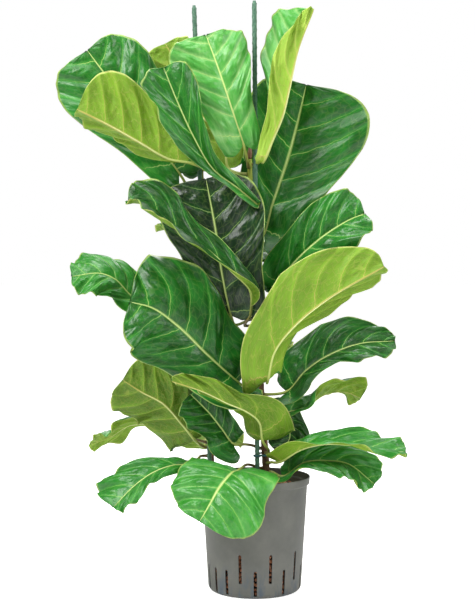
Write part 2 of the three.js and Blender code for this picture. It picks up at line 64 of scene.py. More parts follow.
def add_node(tree, kind, settings=None, links=None):
    """Adds a shader node, sets its properties and unlinked sockets, and joins its linked ones.

    The stops of a colour ramp are pairs of a position and a hex colour, the first and last at its ends.
    A link comes from an output, or from a node's first output when a node is given.
    """
    made = tree.nodes.new(kind)
    for name, value in (settings or {}).items():
        if name == "stops":
            ends = made.color_ramp.elements
            ends[0].position, ends[1].position = value[0][0], value[-1][0]
            ends[0].color, ends[1].color = srgb(value[0][1]), srgb(value[-1][1])
            for position, code in value[1:-1]:
                ends.new(position).color = srgb(code)
        elif isinstance(name, str) and hasattr(made, name):
            setattr(made, name, value)
        else:
            made.inputs[name].default_value = value
    for name, source in (links or {}).items():
        tree.links.new(getattr(source, "outputs", [source])[0], made.inputs[name])
    return made


def new_material(name):
    """An empty node material and its node tree."""
    made = bpy.data.materials.new(name)
    made.use_nodes = True
    made.node_tree.nodes.clear()
    return made, made.node_tree


def finish_material(tree, shader):
    """Joins a shader to the material's output."""
    add_node(tree, "ShaderNodeOutputMaterial", links={"Surface": shader})


def mesh_object(name, bm, materials):
    """Makes an object at the origin from a bmesh, smooth shaded, with these material slots."""
    for face in bm.faces:
        face.smooth = True
    mesh = bpy.data.meshes.new(name)
    bm.to_mesh(mesh)
    bm.free()
    for each in materials:
        mesh.materials.append(each)
    made = bpy.data.objects.new(name, mesh)
    scene.collection.objects.link(made)
    return made


floor_mesh = bmesh.new()
bmesh.ops.create_grid(floor_mesh, x_segments=1, y_segments=1, size=FLOOR_HALF)
floor_paint, tree = new_material("studio_floor")
seen = add_node(tree, "ShaderNodeLightPath").outputs["Is Camera Ray"]
glow = add_node(tree, "ShaderNodeMapRange", {"To Min": 0.12, "To Max": 0.74}, {"Value": seen})
finish_material(
    tree,
    add_node(
        tree, "ShaderNodeBsdfPrincipled",
        {"Base Color": srgb("#f8f8f6"), "Roughness": 0.9, "Emission Color": srgb("#ffffff")},
        {"Emission Strength": glow}))
floor = mesh_object("floor", floor_mesh, [floor_paint])

# White behind the plant, and a dimmer surround on it, so that the soft boxes shape the leaves.
world = bpy.data.worlds.new("studio")
world.use_nodes = True
tree = world.node_tree
tree.nodes.clear()
seen = add_node(tree, "ShaderNodeLightPath").outputs["Is Camera Ray"]
strength = add_node(tree, "ShaderNodeMapRange", {"To Min": 0.32, "To Max": 1.0}, {"Value": seen})
surround = add_node(
    tree, "ShaderNodeBackground", {"Color": (1.0, 1.0, 1.0, 1.0)}, {"Strength": strength})
add_node(tree, "ShaderNodeOutputWorld", links={"Surface": surround})
scene.world = world


def soft_box(name, place, size, power):
    """A square area light that looks at the middle of the plant."""
    light = bpy.data.lights.new(name, "AREA")
    light.size = size
    light.energy = power
    made = bpy.data.objects.new(name, light)
    made.location = place
    made.rotation_euler = (Vector((0, 0, 0.5)) - made.location).to_track_quat("-Z", "Y").to_euler()
    scene.collection.objects.link(made)


soft_box("key_light", Vector((-1.5, -1.3, 2.2)), 1.3, 78.0)
soft_box("side_light", Vector((2.0, -1.0, 1.7)), 1.2, 34.0)
soft_box("back_light", Vector((0.4, 1.9, 2.2)), 1.4, 30.0)
soft_box("top_light", Vector((-0.1, -0.3, 2.7)), 1.8, 40.0)

CAMERA_PLACE = Vector((-28, -2050, 510)) * MM
CAMERA_TILT = math.radians(1.1)
LENS = 75.7
SENSOR_WIDTH = 36.0
eye = bpy.data.cameras.new("camera")
eye.lens = LENS
eye.sensor_width = SENSOR_WIDTH
camera = bpy.data.objects.new("camera", eye)
camera.location = CAMERA_PLACE
camera.rotation_euler = (math.pi / 2 - CAMERA_TILT, 0, 0)
scene.collection.objects.link(camera)
scene.camera = camera


# ---------------------------------------------------------------------------------------------------
# Pot: a thin cup moulded in grey recycled polypropylene, with a turned-out band at its rim and slots
# round its lower wall that let water in to the pellets.

POT_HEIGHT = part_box("pot")[1][2]
RIM_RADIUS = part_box("pot")[1][0]
RIM_BAND = 12.5 * MM
BODY_TOP_RADIUS = 86 * MM
BODY_BASE_RADIUS = 75 * MM
POT_WALL = 1.8 * MM
POT_FLOOR = 2.4 * MM
BASE_CORNER = 9 * MM
FOOT_RING = 54 * MM
FOOT_LIFT = 1 * MM
POT_STEPS = 200
CRISP_EDGE = 28
SLOT_COUNT = 20
SLOT_WIDTH = 5 * MM
LOW_SLOT = (5 * MM, 45 * MM)
HIGH_SLOT = (25 * MM, 71 * MM)
HIGH_SLOTS = (1, 3, 7, 9, 13, 19)
CUTTER_START = 58 * MM
CUTTER_LENGTH = 36 * MM
WELD = 1e-6
BAND_BOTTOM = POT_HEIGHT - RIM_BAND


def body_radius(z):
    """The pot body's outer radius at a height."""
    return BODY_BASE_RADIUS + (BODY_TOP_RADIUS - BODY_BASE_RADIUS) * z / BAND_BOTTOM


def spin_profile(bm, points, steps):
    """Turns a half profile, given as radius and height, round the Z axis into a closed skin."""
    verts = [bm.verts.new((radius, 0, z)) for radius, z in points]
    edges = [bm.edges.new(pair) for pair in zip(verts, verts[1:])]
    bmesh.ops.spin(bm, geom=verts + edges, cent=(0, 0, 0), axis=(0, 0, 1), angle=math.tau, steps=steps,
                   use_merge=True)
    bmesh.ops.remove_doubles(bm, verts=bm.verts, dist=WELD)
    bmesh.ops.recalc_face_normals(bm, faces=bm.faces)


def corner(inset, floor_z, steps=7):
    """A cup's rounded bottom corner, from the floor up to the wall."""
    radius = BASE_CORNER - inset
    middle = body_radius(BASE_CORNER) - BASE_CORNER
    turns = [i / steps * math.pi / 2 for i in range(steps + 1)]
    return [(middle + radius * math.sin(t), floor_z + radius * (1 - math.cos(t))) for t in turns]


def round_lip(centre, radius, start, end, steps=6):
    """Points round a small rolled edge between two angles in degrees."""
    turns = [math.radians(start + (end - start) * i / steps) for i in range(steps + 1)]
    return [(centre[0] + radius * math.cos(t), centre[1] + radius * math.sin(t)) for t in turns]


LIP = POT_WALL / 2
pot_profile = [
    (0, FOOT_LIFT),
    (FOOT_RING - 2 * MM, FOOT_LIFT),
    (FOOT_RING, 0),
    *corner(0, 0),
    (body_radius(BAND_BOTTOM / 2), BAND_BOTTOM / 2),
    (body_radius(BAND_BOTTOM) - 0.3 * MM, BAND_BOTTOM - 1.0 * MM),
    (body_radius(BAND_BOTTOM) + 0.4 * MM, BAND_BOTTOM),
    (RIM_RADIUS - 1.6 * MM, BAND_BOTTOM + 0.5 * MM),
    (RIM_RADIUS - 0.7 * MM, BAND_BOTTOM + 1.4 * MM),
    (RIM_RADIUS - 0.2 * MM, POT_HEIGHT - 3.2 * MM),
    *round_lip((RIM_RADIUS - LIP, POT_HEIGHT - LIP), LIP, 0, 180),
    (RIM_RADIUS - POT_WALL - 0.2 * MM, POT_HEIGHT - 3.2 * MM),
    (RIM_RADIUS - POT_WALL - 0.8 * MM, BAND_BOTTOM + 2.6 * MM),
    (body_radius(BAND_BOTTOM) - POT_WALL, BAND_BOTTOM + 1.0 * MM),
    *reversed(corner(POT_WALL, POT_FLOOR)),
    (0, POT_FLOOR),
]
pot_mesh = bmesh.new()
spin_profile(pot_mesh, pot_profile, POT_STEPS)

slots_mesh = bmesh.new()
for i in range(SLOT_COUNT):
    bottom, top = HIGH_SLOT if i in HIGH_SLOTS else LOW_SLOT
    half = SLOT_WIDTH / 2
    turn = Matrix.Rotation(i / SLOT_COUNT * math.tau, 4, "Z")
    arch = [(half, bottom), *round_lip((0, top - half), half, 0, 180, 8), (-half, bottom)]
    verts = [slots_mesh.verts.new((x, -CUTTER_START, z)) for x, z in arch]
    face = slots_mesh.faces.new(verts)
    pushed = bmesh.ops.extrude_face_region(slots_mesh, geom=[face])["geom"]
    outer = [v for v in pushed if isinstance(v, bmesh.types.BMVert)]
    bmesh.ops.translate(slots_mesh, verts=outer, vec=(0, -CUTTER_LENGTH, 0))
    bmesh.ops.transform(slots_mesh, matrix=turn, verts=verts + outer)
bmesh.ops.recalc_face_normals(slots_mesh, faces=slots_mesh.faces)


def cut_from(made, cutter):
    """Cuts one object's mesh out of another's and removes the cutter."""
    cut = made.modifiers.new("cut", "BOOLEAN")
    cut.operation = "DIFFERENCE"
    cut.object = cutter
    cut.solver = "EXACT"
    shaped = bpy.data.meshes.new_from_object(made.evaluated_get(bpy.context.evaluated_depsgraph_get()))
    made.modifiers.clear()
    made.data = shaped
    bpy.data.objects.remove(cutter)


def shade_by_angle(made, degrees):
    """Smooth shading, with edges sharper than an angle kept crisp."""
    bm = bmesh.new()
    bm.from_mesh(made.data)
    for face in bm.faces:
        face.smooth = True
    for edge in bm.edges:
        edge.smooth = len(edge.link_faces) == 2 and edge.calc_face_angle() < math.radians(degrees)
    bm.to_mesh(made.data)
    bm.free()


# Moulded polypropylene, matt from handling, with damp marks near its foot and a dusty bloom above.
plastic, tree = new_material("grey_polypropylene_moulded")
place = add_node(tree, "ShaderNodeTexCoord").outputs["Object"]
height = add_node(tree, "ShaderNodeSeparateXYZ", links={"Vector": place}).outputs["Z"]
cloud = add_node(
    tree, "ShaderNodeTexNoise", {"Scale": 18.0, "Detail": 5.0, "Roughness": 0.6}, {"Vector": place})
smear = add_node(tree, "ShaderNodeMapping", {"Scale": (30.0, 30.0, 9.0)}, {"Vector": place})
streak = add_node(
    tree, "ShaderNodeTexNoise", {"Scale": 1.6, "Detail": 4.0, "Roughness": 0.7}, {"Vector": smear})
grain = add_node(
    tree, "ShaderNodeTexNoise", {"Scale": 900.0, "Detail": 3.0, "Roughness": 0.6}, {"Vector": place})
tone = add_node(
    tree, "ShaderNodeValToRGB", {"stops": ((0.34, "#4f504c"), (0.68, "#64645f"))},
    {"Fac": cloud.outputs["Fac"]})
damp_height = add_node(
    tree, "ShaderNodeMapRange", {"From Min": 0.055, "From Max": 0.012}, {"Value": height})
damp_edge = add_node(
    tree, "ShaderNodeMapRange", {"From Min": 0.5, "From Max": 0.62}, {"Value": streak.outputs["Fac"]})
damp = add_node(tree, "ShaderNodeMath", {"operation": "MULTIPLY"}, {0: damp_height, 1: damp_edge})
stained = add_node(
    tree, "ShaderNodeMix", {"data_type": "RGBA", "B": srgb("#454f58")}, {"Factor": damp, "A": tone})
dry = add_node(
    tree, "ShaderNodeMapRange", {"From Min": 0.35, "From Max": 0.75, "To Min": 0.48, "To Max": 0.66},
    {"Value": cloud.outputs["Fac"]})
pitted = add_node(
    tree, "ShaderNodeBump", {"Strength": 0.18, "Distance": 0.0004}, {"Height": grain.outputs["Fac"]})
finish_material(
    tree,
    add_node(
        tree, "ShaderNodeBsdfPrincipled", {"IOR": 1.49},
        {"Base Color": stained.outputs[2], "Roughness": dry, "Normal": pitted}))

slots = mesh_object("slot_cutter", slots_mesh, [])
pot = mesh_object("culture_pot", pot_mesh, [plastic])
cut_from(pot, slots)
shade_by_angle(pot, CRISP_EDGE)
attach(pot, "root")
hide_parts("pot")


# ---------------------------------------------------------------------------------------------------
# Clay pellets: fired, expanded clay in rounded lumps of 6 to 14 mm, packed against the wall and heaped
# a little on top, over a dark closed core that stands for the pellets that nothing shows.

FILL_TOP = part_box("clay_pellets")[1][2] - 4 * MM
FILL_CROWN = 4 * MM
PELLET_SIZES = (3.4 * MM, 5.6 * MM)
CORE_INSET = 9 * MM
PELLET_ROWS = 11
ROW_START = 9 * MM
ROW_HEIGHT = 7.2 * MM
ROW_PITCH = 8.6 * MM
RING_STEP = 8.2 * MM
RING_PITCH = 8.8 * MM
KNOBBLE = 0.22

# Fired clay: a matt reddish-brown skin, dustier and paler on some lumps, with small pits.
fired, tree = new_material("expanded_clay_fired")
place = add_node(tree, "ShaderNodeTexCoord").outputs["Object"]
lump = add_node(tree, "ShaderNodeTexVoronoi", {"Scale": 95.0}, {"Vector": place})
shade = add_node(tree, "ShaderNodeSeparateColor", links={"Color": lump.outputs["Color"]})
tone = add_node(
    tree, "ShaderNodeValToRGB", {"stops": ((0.0, "#5b3322"), (0.55, "#8a5438"), (1.0, "#a8714f"))},
    {"Fac": shade})
pits = add_node(tree, "ShaderNodeTexVoronoi", {"Scale": 900.0}, {"Vector": place})
rough = add_node(tree, "ShaderNodeTexNoise", {"Scale": 420.0, "Detail": 4.0}, {"Vector": place})
dust = add_node(
    tree, "ShaderNodeMapRange", {"From Min": 0.5, "From Max": 0.75, "To Max": 0.5},
    {"Value": rough.outputs["Fac"]})
dusty = add_node(
    tree, "ShaderNodeMix", {"data_type": "RGBA", "B": srgb("#c29a7c")}, {"Factor": dust, "A": tone})
skin_bump = add_node(
    tree, "ShaderNodeBump", {"Strength": 0.6, "Distance": 0.0008}, {"Height": pits.outputs["Distance"]})
finish_material(
    tree,
    add_node(
        tree, "ShaderNodeBsdfPrincipled", {"Roughness": 0.92},
        {"Base Color": dusty.outputs[2], "Normal": skin_bump}))

# The same clay deep between the lumps, where little light gets in: nearly black, faintly mottled.
shadow, tree = new_material("clay_in_shadow")
place = add_node(tree, "ShaderNodeTexCoord").outputs["Object"]
mottle = add_node(tree, "ShaderNodeTexNoise", {"Scale": 160.0, "Detail": 3.0}, {"Vector": place})
tone = add_node(
    tree, "ShaderNodeValToRGB", {"stops": ((0.0, "#120b08"), (1.0, "#3a2117"))},
    {"Fac": mottle.outputs["Fac"]})
finish_material(
    tree, add_node(tree, "ShaderNodeBsdfPrincipled", {"Roughness": 1.0}, {"Base Color": tone}))

chance = random.Random(5)


def add_pellet(bm, centre, size):
    """One lump: a small ball, squashed and turned a little, with a knobbly skin."""
    ball = bmesh.ops.create_icosphere(bm, subdivisions=1, radius=size)["verts"]
    shift = Vector((chance.uniform(0, 50), chance.uniform(0, 50), chance.uniform(0, 50)))
    stretch = Matrix.Diagonal((chance.uniform(0.85, 1.1), chance.uniform(0.85, 1.1),
                               chance.uniform(0.75, 1.0), 1))
    turn = Matrix.Rotation(chance.uniform(0, math.tau), 4,
                           (chance.random(), chance.random(), chance.random() + 0.1))
    for vert in ball:
        vert.co *= 1 + KNOBBLE * noise.noise(vert.co / size + shift)
    bmesh.ops.transform(bm, matrix=Matrix.Translation(centre) @ turn @ stretch, verts=ball)


def inner_radius(z):
    """The pot's inside radius at a height."""
    if z < BASE_CORNER:
        return body_radius(BASE_CORNER) - BASE_CORNER + math.sqrt(
            max((BASE_CORNER - POT_WALL) ** 2 - (BASE_CORNER - z) ** 2, 0))
    return body_radius(z) - POT_WALL


pellets_mesh = bmesh.new()
core_profile = [(0, POT_FLOOR + 1 * MM), (55 * MM, POT_FLOOR + 1 * MM)]
core_profile += [(body_radius(z) - CORE_INSET, z) for z in (12 * MM, 90 * MM, FILL_TOP - 9 * MM)]
core_profile += [(40 * MM, FILL_TOP - 6 * MM), (0, FILL_TOP - 4 * MM)]
spin_profile(pellets_mesh, core_profile, 48)
core_faces = list(pellets_mesh.faces)

# Against the wall, up to just over the slots' tops.
for row in range(PELLET_ROWS):
    z = ROW_START + row * ROW_HEIGHT
    count = int(math.tau * inner_radius(z) / ROW_PITCH)
    for i in range(count):
        size = chance.uniform(*PELLET_SIZES)
        angle = (i + (row % 2) / 2 + chance.uniform(-0.2, 0.2)) / count * math.tau
        reach = inner_radius(z) - size * 1.05 - chance.uniform(0.0, 0.5) * MM
        lift = chance.uniform(-1, 1) * MM
        add_pellet(pellets_mesh, (reach * math.cos(angle), reach * math.sin(angle), z + lift), size)

# On top: rings from the wall inwards, each lump a little higher towards the middle.
ring = inner_radius(FILL_TOP) - 5.5 * MM
while ring > 0:
    count = max(int(math.tau * ring / RING_PITCH), 1)
    for i in range(count):
        size = chance.uniform(*PELLET_SIZES)
        angle = (i + chance.uniform(-0.25, 0.25)) / count * math.tau + ring * 100
        reach = ring + chance.uniform(-1.5, 1.5) * MM
        crown = FILL_CROWN * (1 - (ring / RIM_RADIUS) ** 2)
        z = FILL_TOP - size + crown + chance.uniform(-2.5, 0.5) * MM
        add_pellet(pellets_mesh, (reach * math.cos(angle), reach * math.sin(angle), z), size)
    ring -= RING_STEP

for face in core_faces:
    face.material_index = 1
pellets = mesh_object("pellets", pellets_mesh, [fired, shadow])
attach(pellets, "root")
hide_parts("clay_pellets")


# ---------------------------------------------------------------------------------------------------
# Stems: two woody stems, brown and papery below and green above, ringed by the scars of shed leaves.

# Radii at the foot and the tip, and points up the middle with heights from the pot's rim, in millimetres.
STEMS = {
    "main": dict(
        radii=(6.2, 4.0),
        points=((20, 0, -125), (19, 0, 5), (9, 0, 155), (-3, 0, 315), (-7, 2, 415), (-8, 4, 515))),
    "second": dict(
        radii=(5.6, 3.6),
        points=((-58, 28, -125), (-72, 34, 15), (-78, 35, 215), (-84, 36, 375), (-88, 36, 515))),
}
STEM_ROOT = -125
STEM_STEP = 3
STEM_SIDES = 20
NODE_SPACING = 21
NODE_SWELL = 0.5


def stem_centre(stem, height):
    """A stem's centre, in millimetres from the pot's middle, at a height above the rim."""
    points = STEMS[stem]["points"]
    axes = zip(*[(x, y) for x, y, _ in points])
    x, y = (np.interp(height, [p[2] for p in points], axis) for axis in axes)
    return np.array([x, y, height + POT_HEIGHT / MM])


def stem_radius(stem, height):
    """A stem's radius in millimetres at a height above the rim."""
    base, tip = STEMS[stem]["radii"]
    return float(np.interp(height, [0, STEMS[stem]["points"][-1][2]], [base, tip]))


def lay_grid(bm, across, along, surface):
    """Lays a flat grid of quads over a surface, a function that gives points for u and v from 0 to 1.

    Returns the grid's points and each one's u and v.
    """
    verts = bmesh.ops.create_grid(bm, x_segments=across, y_segments=along, size=0.5)["verts"]
    flat = np.array([vert.co for vert in verts])[:, :2] + 0.5
    for vert, point in zip(verts, surface(flat[:, 0], flat[:, 1])):
        vert.co = point
    return verts, flat


def lay_tube(bm, centres, radius, sides):
    """Rolls a grid into a tube along centres, in millimetres, with both ends closed to a point.

    The radius is a function of each point's place along the centres and its turn round them.
    """
    centres = np.array(centres, float)
    centres = np.vstack([centres[:1], centres, centres[-1:]])
    ways = np.gradient(centres, axis=0)
    ways[0], ways[-1] = ways[1], ways[-2]
    ways /= np.linalg.norm(ways, axis=1)[:, None]
    one = np.cross(ways[0], (0.0, -1.0, 0.0) if abs(ways[0][1]) < 0.9 else (1.0, 0.0, 0.0))
    ones = []
    for way in ways:
        one = one - way * one.dot(way)
        one /= np.linalg.norm(one)
        ones.append(one)
    ones = np.array(ones)
    twos = np.cross(ways, ones)
    last = len(centres) - 1

    def surface(u, v):
        i = np.rint(v * last).astype(int)
        turn = u * math.tau
        reach = radius(np.clip(i - 1, 0, last - 2), turn) * ((i > 0) & (i < last))
        around = np.cos(turn)[:, None] * ones[i] + np.sin(turn)[:, None] * twos[i]
        return (centres[i] + around * reach[:, None]) * MM

    verts, _ = lay_grid(bm, sides, last, surface)
    merged = bmesh.ops.find_doubles(bm, verts=verts, dist=WELD / 10)["targetmap"]
    bmesh.ops.weld_verts(bm, targetmap=merged)
    return [vert for vert in verts if vert.is_valid]


# Bark: dry and papery brown on the older wood, fresh green above, with dark scars and cracks.
bark, tree = new_material("fig_bark_papery")
place = add_node(tree, "ShaderNodeTexCoord").outputs["Object"]
height = add_node(tree, "ShaderNodeSeparateXYZ", links={"Vector": place}).outputs["Z"]
long_grain = add_node(tree, "ShaderNodeMapping", {"Scale": (420.0, 420.0, 60.0)}, {"Vector": place})
flakes = add_node(
    tree, "ShaderNodeTexNoise", {"Scale": 1.0, "Detail": 6.0, "Roughness": 0.65},
    {"Vector": long_grain})
patches = add_node(tree, "ShaderNodeTexNoise", {"Scale": 60.0, "Detail": 3.0}, {"Vector": place})
old_wood = add_node(
    tree, "ShaderNodeValToRGB", {"stops": ((0.35, "#38231a"), (0.7, "#8b6645"))},
    {"Fac": flakes.outputs["Fac"]})
young_wood = add_node(
    tree, "ShaderNodeValToRGB", {"stops": ((0.3, "#6a7a2a"), (0.65, "#a4b045"))},
    {"Fac": flakes.outputs["Fac"]})
wobble = add_node(
    tree, "ShaderNodeMath", {"operation": "MULTIPLY_ADD", 1: 0.16},
    {0: patches.outputs["Fac"], 2: height})
youth = add_node(tree, "ShaderNodeMapRange", {"From Min": 0.60, "From Max": 0.72}, {"Value": wobble})
wood = add_node(
    tree, "ShaderNodeMix", {"data_type": "RGBA"}, {"Factor": youth, "A": old_wood, "B": young_wood})
cracked = add_node(
    tree, "ShaderNodeBump", {"Strength": 0.7, "Distance": 0.0009}, {"Height": flakes.outputs["Fac"]})
finish_material(
    tree,
    add_node(
        tree, "ShaderNodeBsdfPrincipled", {"Roughness": 0.78},
        {"Base Color": wood.outputs[2], "Normal": cracked}))

for stem, cad_node in (("main", "main_stem"), ("second", "second_stem")):
    top = STEMS[stem]["points"][-1][2]
    heights = np.arange(STEM_ROOT, top + 0.1, STEM_STEP)
    tilt = np.sin(heights / 47.0) * 0.6

    def stem_reach(i, turn, stem=stem, heights=heights, tilt=tilt):
        z = heights[i]
        widths = np.array([stem_radius(stem, each) for each in heights])[i]
        ring = (z + tilt[i] * 2 * np.cos(turn)) / NODE_SPACING
        away = np.abs(ring - np.rint(ring)) * NODE_SPACING
        return widths - 0.25 + NODE_SWELL * np.exp(-(away / 2.2) ** 2) + 0.18 * np.sin(3 * turn + z / 17)

    stem_mesh = bmesh.new()
    lay_tube(stem_mesh, [stem_centre(stem, z) for z in heights], stem_reach, STEM_SIDES)
    made = mesh_object(cad_node + "_bark", stem_mesh, [bark])
    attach(made, "root")
    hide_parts(cad_node)


# ---------------------------------------------------------------------------------------------------
# Stakes: two steel rods in a green plastic sleeve with rows of small nubs, pushed into the pellets.

STAKE_RADIUS = 4.2
STAKES = {"stake_front": ((5, -15), (-1, -15)), "stake_rear": ((-69, 18), (-99, 21))}
STAKE_FOOT = -120
STAKE_TOP = 767
STAKE_STEP = 2.2
STAKE_SIDES = 24
NUB_SPACING = 14
NUB_HEIGHT = 0.55
NUB_ROWS = 6
NUB_WIDTH = 1.1
NUB_LENGTH = 1.7

# Coated sleeve: extruded green polyethylene, softly shiny, scuffed paler on the nubs.
sleeve, tree = new_material("green_polyethylene_sleeve")
place = add_node(tree, "ShaderNodeTexCoord").outputs["Object"]
scuffs = add_node(
    tree, "ShaderNodeTexNoise", {"Scale": 240.0, "Detail": 4.0, "Roughness": 0.7}, {"Vector": place})
tone = add_node(
    tree, "ShaderNodeValToRGB", {"stops": ((0.35, "#2c5540"), (0.75, "#5a8168"))},
    {"Fac": scuffs.outputs["Fac"]})
wear = add_node(
    tree, "ShaderNodeMapRange", {"To Min": 0.4, "To Max": 0.62}, {"Value": scuffs.outputs["Fac"]})
finish_material(
    tree,
    add_node(tree, "ShaderNodeBsdfPrincipled", {"IOR": 1.5}, {"Base Color": tone, "Roughness": wear}))


def stake_centres(name, step):
    """Points up the middle of a stake, in millimetres."""
    foot, top = STAKES[name]
    heights = np.arange(STAKE_FOOT, STAKE_TOP + 0.1, step)
    share = (heights - STAKE_FOOT) / (STAKE_TOP - STAKE_FOOT)
    return np.column_stack([foot[0] + (top[0] - foot[0]) * share, foot[1] + (top[1] - foot[1]) * share,
                            heights + POT_HEIGHT / MM])


for name in STAKES:
    centres = stake_centres(name, STAKE_STEP)
    last = len(centres) - 1

    def stake_reach(i, turn, last=last):
        row = np.rint(turn / (math.tau / NUB_ROWS))
        up = i * STAKE_STEP / NUB_SPACING + row / 2
        aside = (turn - row * math.tau / NUB_ROWS) * STAKE_RADIUS / NUB_WIDTH
        near = np.hypot(aside, (up - np.rint(up)) * NUB_SPACING / NUB_LENGTH)
        rounded = np.where(i >= last - 1, 0.7, 1.0)
        return (STAKE_RADIUS - NUB_HEIGHT) * rounded + NUB_HEIGHT * np.exp(-near ** 2)

    stake_mesh = bmesh.new()
    lay_tube(stake_mesh, centres, stake_reach, STAKE_SIDES)
    made = mesh_object(name + "_sleeve", stake_mesh, [sleeve])
    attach(made, "root")
    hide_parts(name)


# ---------------------------------------------------------------------------------------------------
# Clip: a moulded teal ring that snaps round the main stem, joined to a small eye round its stake.

CLIP_WIRE = 1.1
CLIP_RING = 17
CLIP_SIDES = 12
CLIP_STEPS = 64
CLIP_EYE_ROOM = 0.4
clip_low, clip_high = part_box("stem_clip")
clip_height = (clip_low.z + clip_high.z) / 2 / MM

# Moulded nylon: dark teal right through, smooth and a little shiny, faintly mottled by the mould.
clip_plastic, tree = new_material("teal_nylon_moulded")
place = add_node(tree, "ShaderNodeTexCoord").outputs["Object"]
mottle = add_node(tree, "ShaderNodeTexNoise", {"Scale": 300.0, "Detail": 3.0}, {"Vector": place})
tone = add_node(
    tree, "ShaderNodeValToRGB", {"stops": ((0.0, "#163c40"), (1.0, "#2b6366"))},
    {"Fac": mottle.outputs["Fac"]})
finish_material(
    tree,
    add_node(tree, "ShaderNodeBsdfPrincipled", {"Roughness": 0.35, "IOR": 1.53}, {"Base Color": tone}))

foot, top = STAKES["stake_front"]
share = (clip_height - POT_HEIGHT / MM - STAKE_FOOT) / (STAKE_TOP - STAKE_FOOT)
eye_centre = np.array([foot[0] + (top[0] - foot[0]) * share, foot[1] + (top[1] - foot[1]) * share,
                       clip_height])
to_stem = stem_centre("main", clip_height - POT_HEIGHT / MM) - eye_centre
to_stem /= np.linalg.norm(to_stem)
small_ring = STAKE_RADIUS + CLIP_EYE_ROOM + CLIP_WIRE
clip_mesh = bmesh.new()
for centre, radius in ((eye_centre + to_stem * (CLIP_RING + small_ring), CLIP_RING),
                       (eye_centre, small_ring)):
    def hoop(u, v, centre=centre, radius=radius):
        turn, around = v * math.tau, u * math.tau
        reach = radius + CLIP_WIRE * np.cos(around)
        rise = CLIP_WIRE * 1.5 * np.sin(around)
        return (centre + np.column_stack([reach * np.cos(turn), reach * np.sin(turn), rise])) * MM

    lay_grid(clip_mesh, CLIP_SIDES, CLIP_STEPS, hoop)
bmesh.ops.remove_doubles(clip_mesh, verts=clip_mesh.verts, dist=WELD / 10)
bmesh.ops.recalc_face_normals(clip_mesh, faces=clip_mesh.faces)
clip = mesh_object("stem_clip_ring", clip_mesh, [clip_plastic])
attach(clip, "root")
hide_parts("stem_clip")


# ---------------------------------------------------------------------------------------------------
# Buds: a pointed, overlapping sheath over each growing tip, reddish-brown and slightly shiny.

# Bud scale: thin and waxy, wine red fading to tan, with fine fibres that run to the point.
sheath, tree = new_material("bud_sheath_waxy")
place = add_node(tree, "ShaderNodeTexCoord").outputs["Object"]
lines = add_node(tree, "ShaderNodeMapping", {"Scale": (900.0, 900.0, 120.0)}, {"Vector": place})
fibre = add_node(tree, "ShaderNodeTexNoise", {"Scale": 1.0, "Detail": 4.0}, {"Vector": lines})
tone = add_node(
    tree, "ShaderNodeValToRGB", {"stops": ((0.0, "#4a2126"), (1.0, "#8f6a3c"))},
    {"Fac": fibre.outputs["Fac"]})
fibre_bump = add_node(
    tree, "ShaderNodeBump", {"Strength": 0.4, "Distance": 0.0004}, {"Height": fibre.outputs["Fac"]})
finish_material(
    tree,
    add_node(
        tree, "ShaderNodeBsdfPrincipled", {"Roughness": 0.42},
        {"Base Color": tone, "Normal": fibre_bump}))

BUD_LENGTH = 26
BUD_RADIUS = 4.4
BUD_LEAN = 1.2
BUD_RINGS = 22
BUD_SIDES = 28
for stem, cad_node in (("main", "main_bud"), ("second", "second_bud")):
    base = stem_centre(stem, STEMS[stem]["points"][-1][2])
    shares = np.linspace(0, 1, BUD_RINGS)
    bend = np.column_stack([BUD_LEAN * shares ** 2, 0 * shares, BUD_LENGTH * shares])

    def bud_reach(i, turn, shares=shares):
        share = shares[i]
        plump = np.interp(share, [0, 0.1, 0.35, 0.7, 0.92, 1], [0.74, 0.86, 1, 0.6, 0.16, 0.03])
        lap = 0.08 * ((turn / math.tau + share * 0.8) % 1)
        return BUD_RADIUS * (plump - 0.06 + lap)

    bud_mesh = bmesh.new()
    lay_tube(bud_mesh, base + bend, bud_reach, BUD_SIDES)
    made = mesh_object(cad_node + "_sheath", bud_mesh, [sheath])
    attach(made, "root")
    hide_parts(cad_node)


# ---------------------------------------------------------------------------------------------------
# Leaves: leathery fiddle-shaped blades with a sunk midrib, side veins that curve to the margin and
# quilted skin between them, each on a stout stalk that springs from its node on a stem.

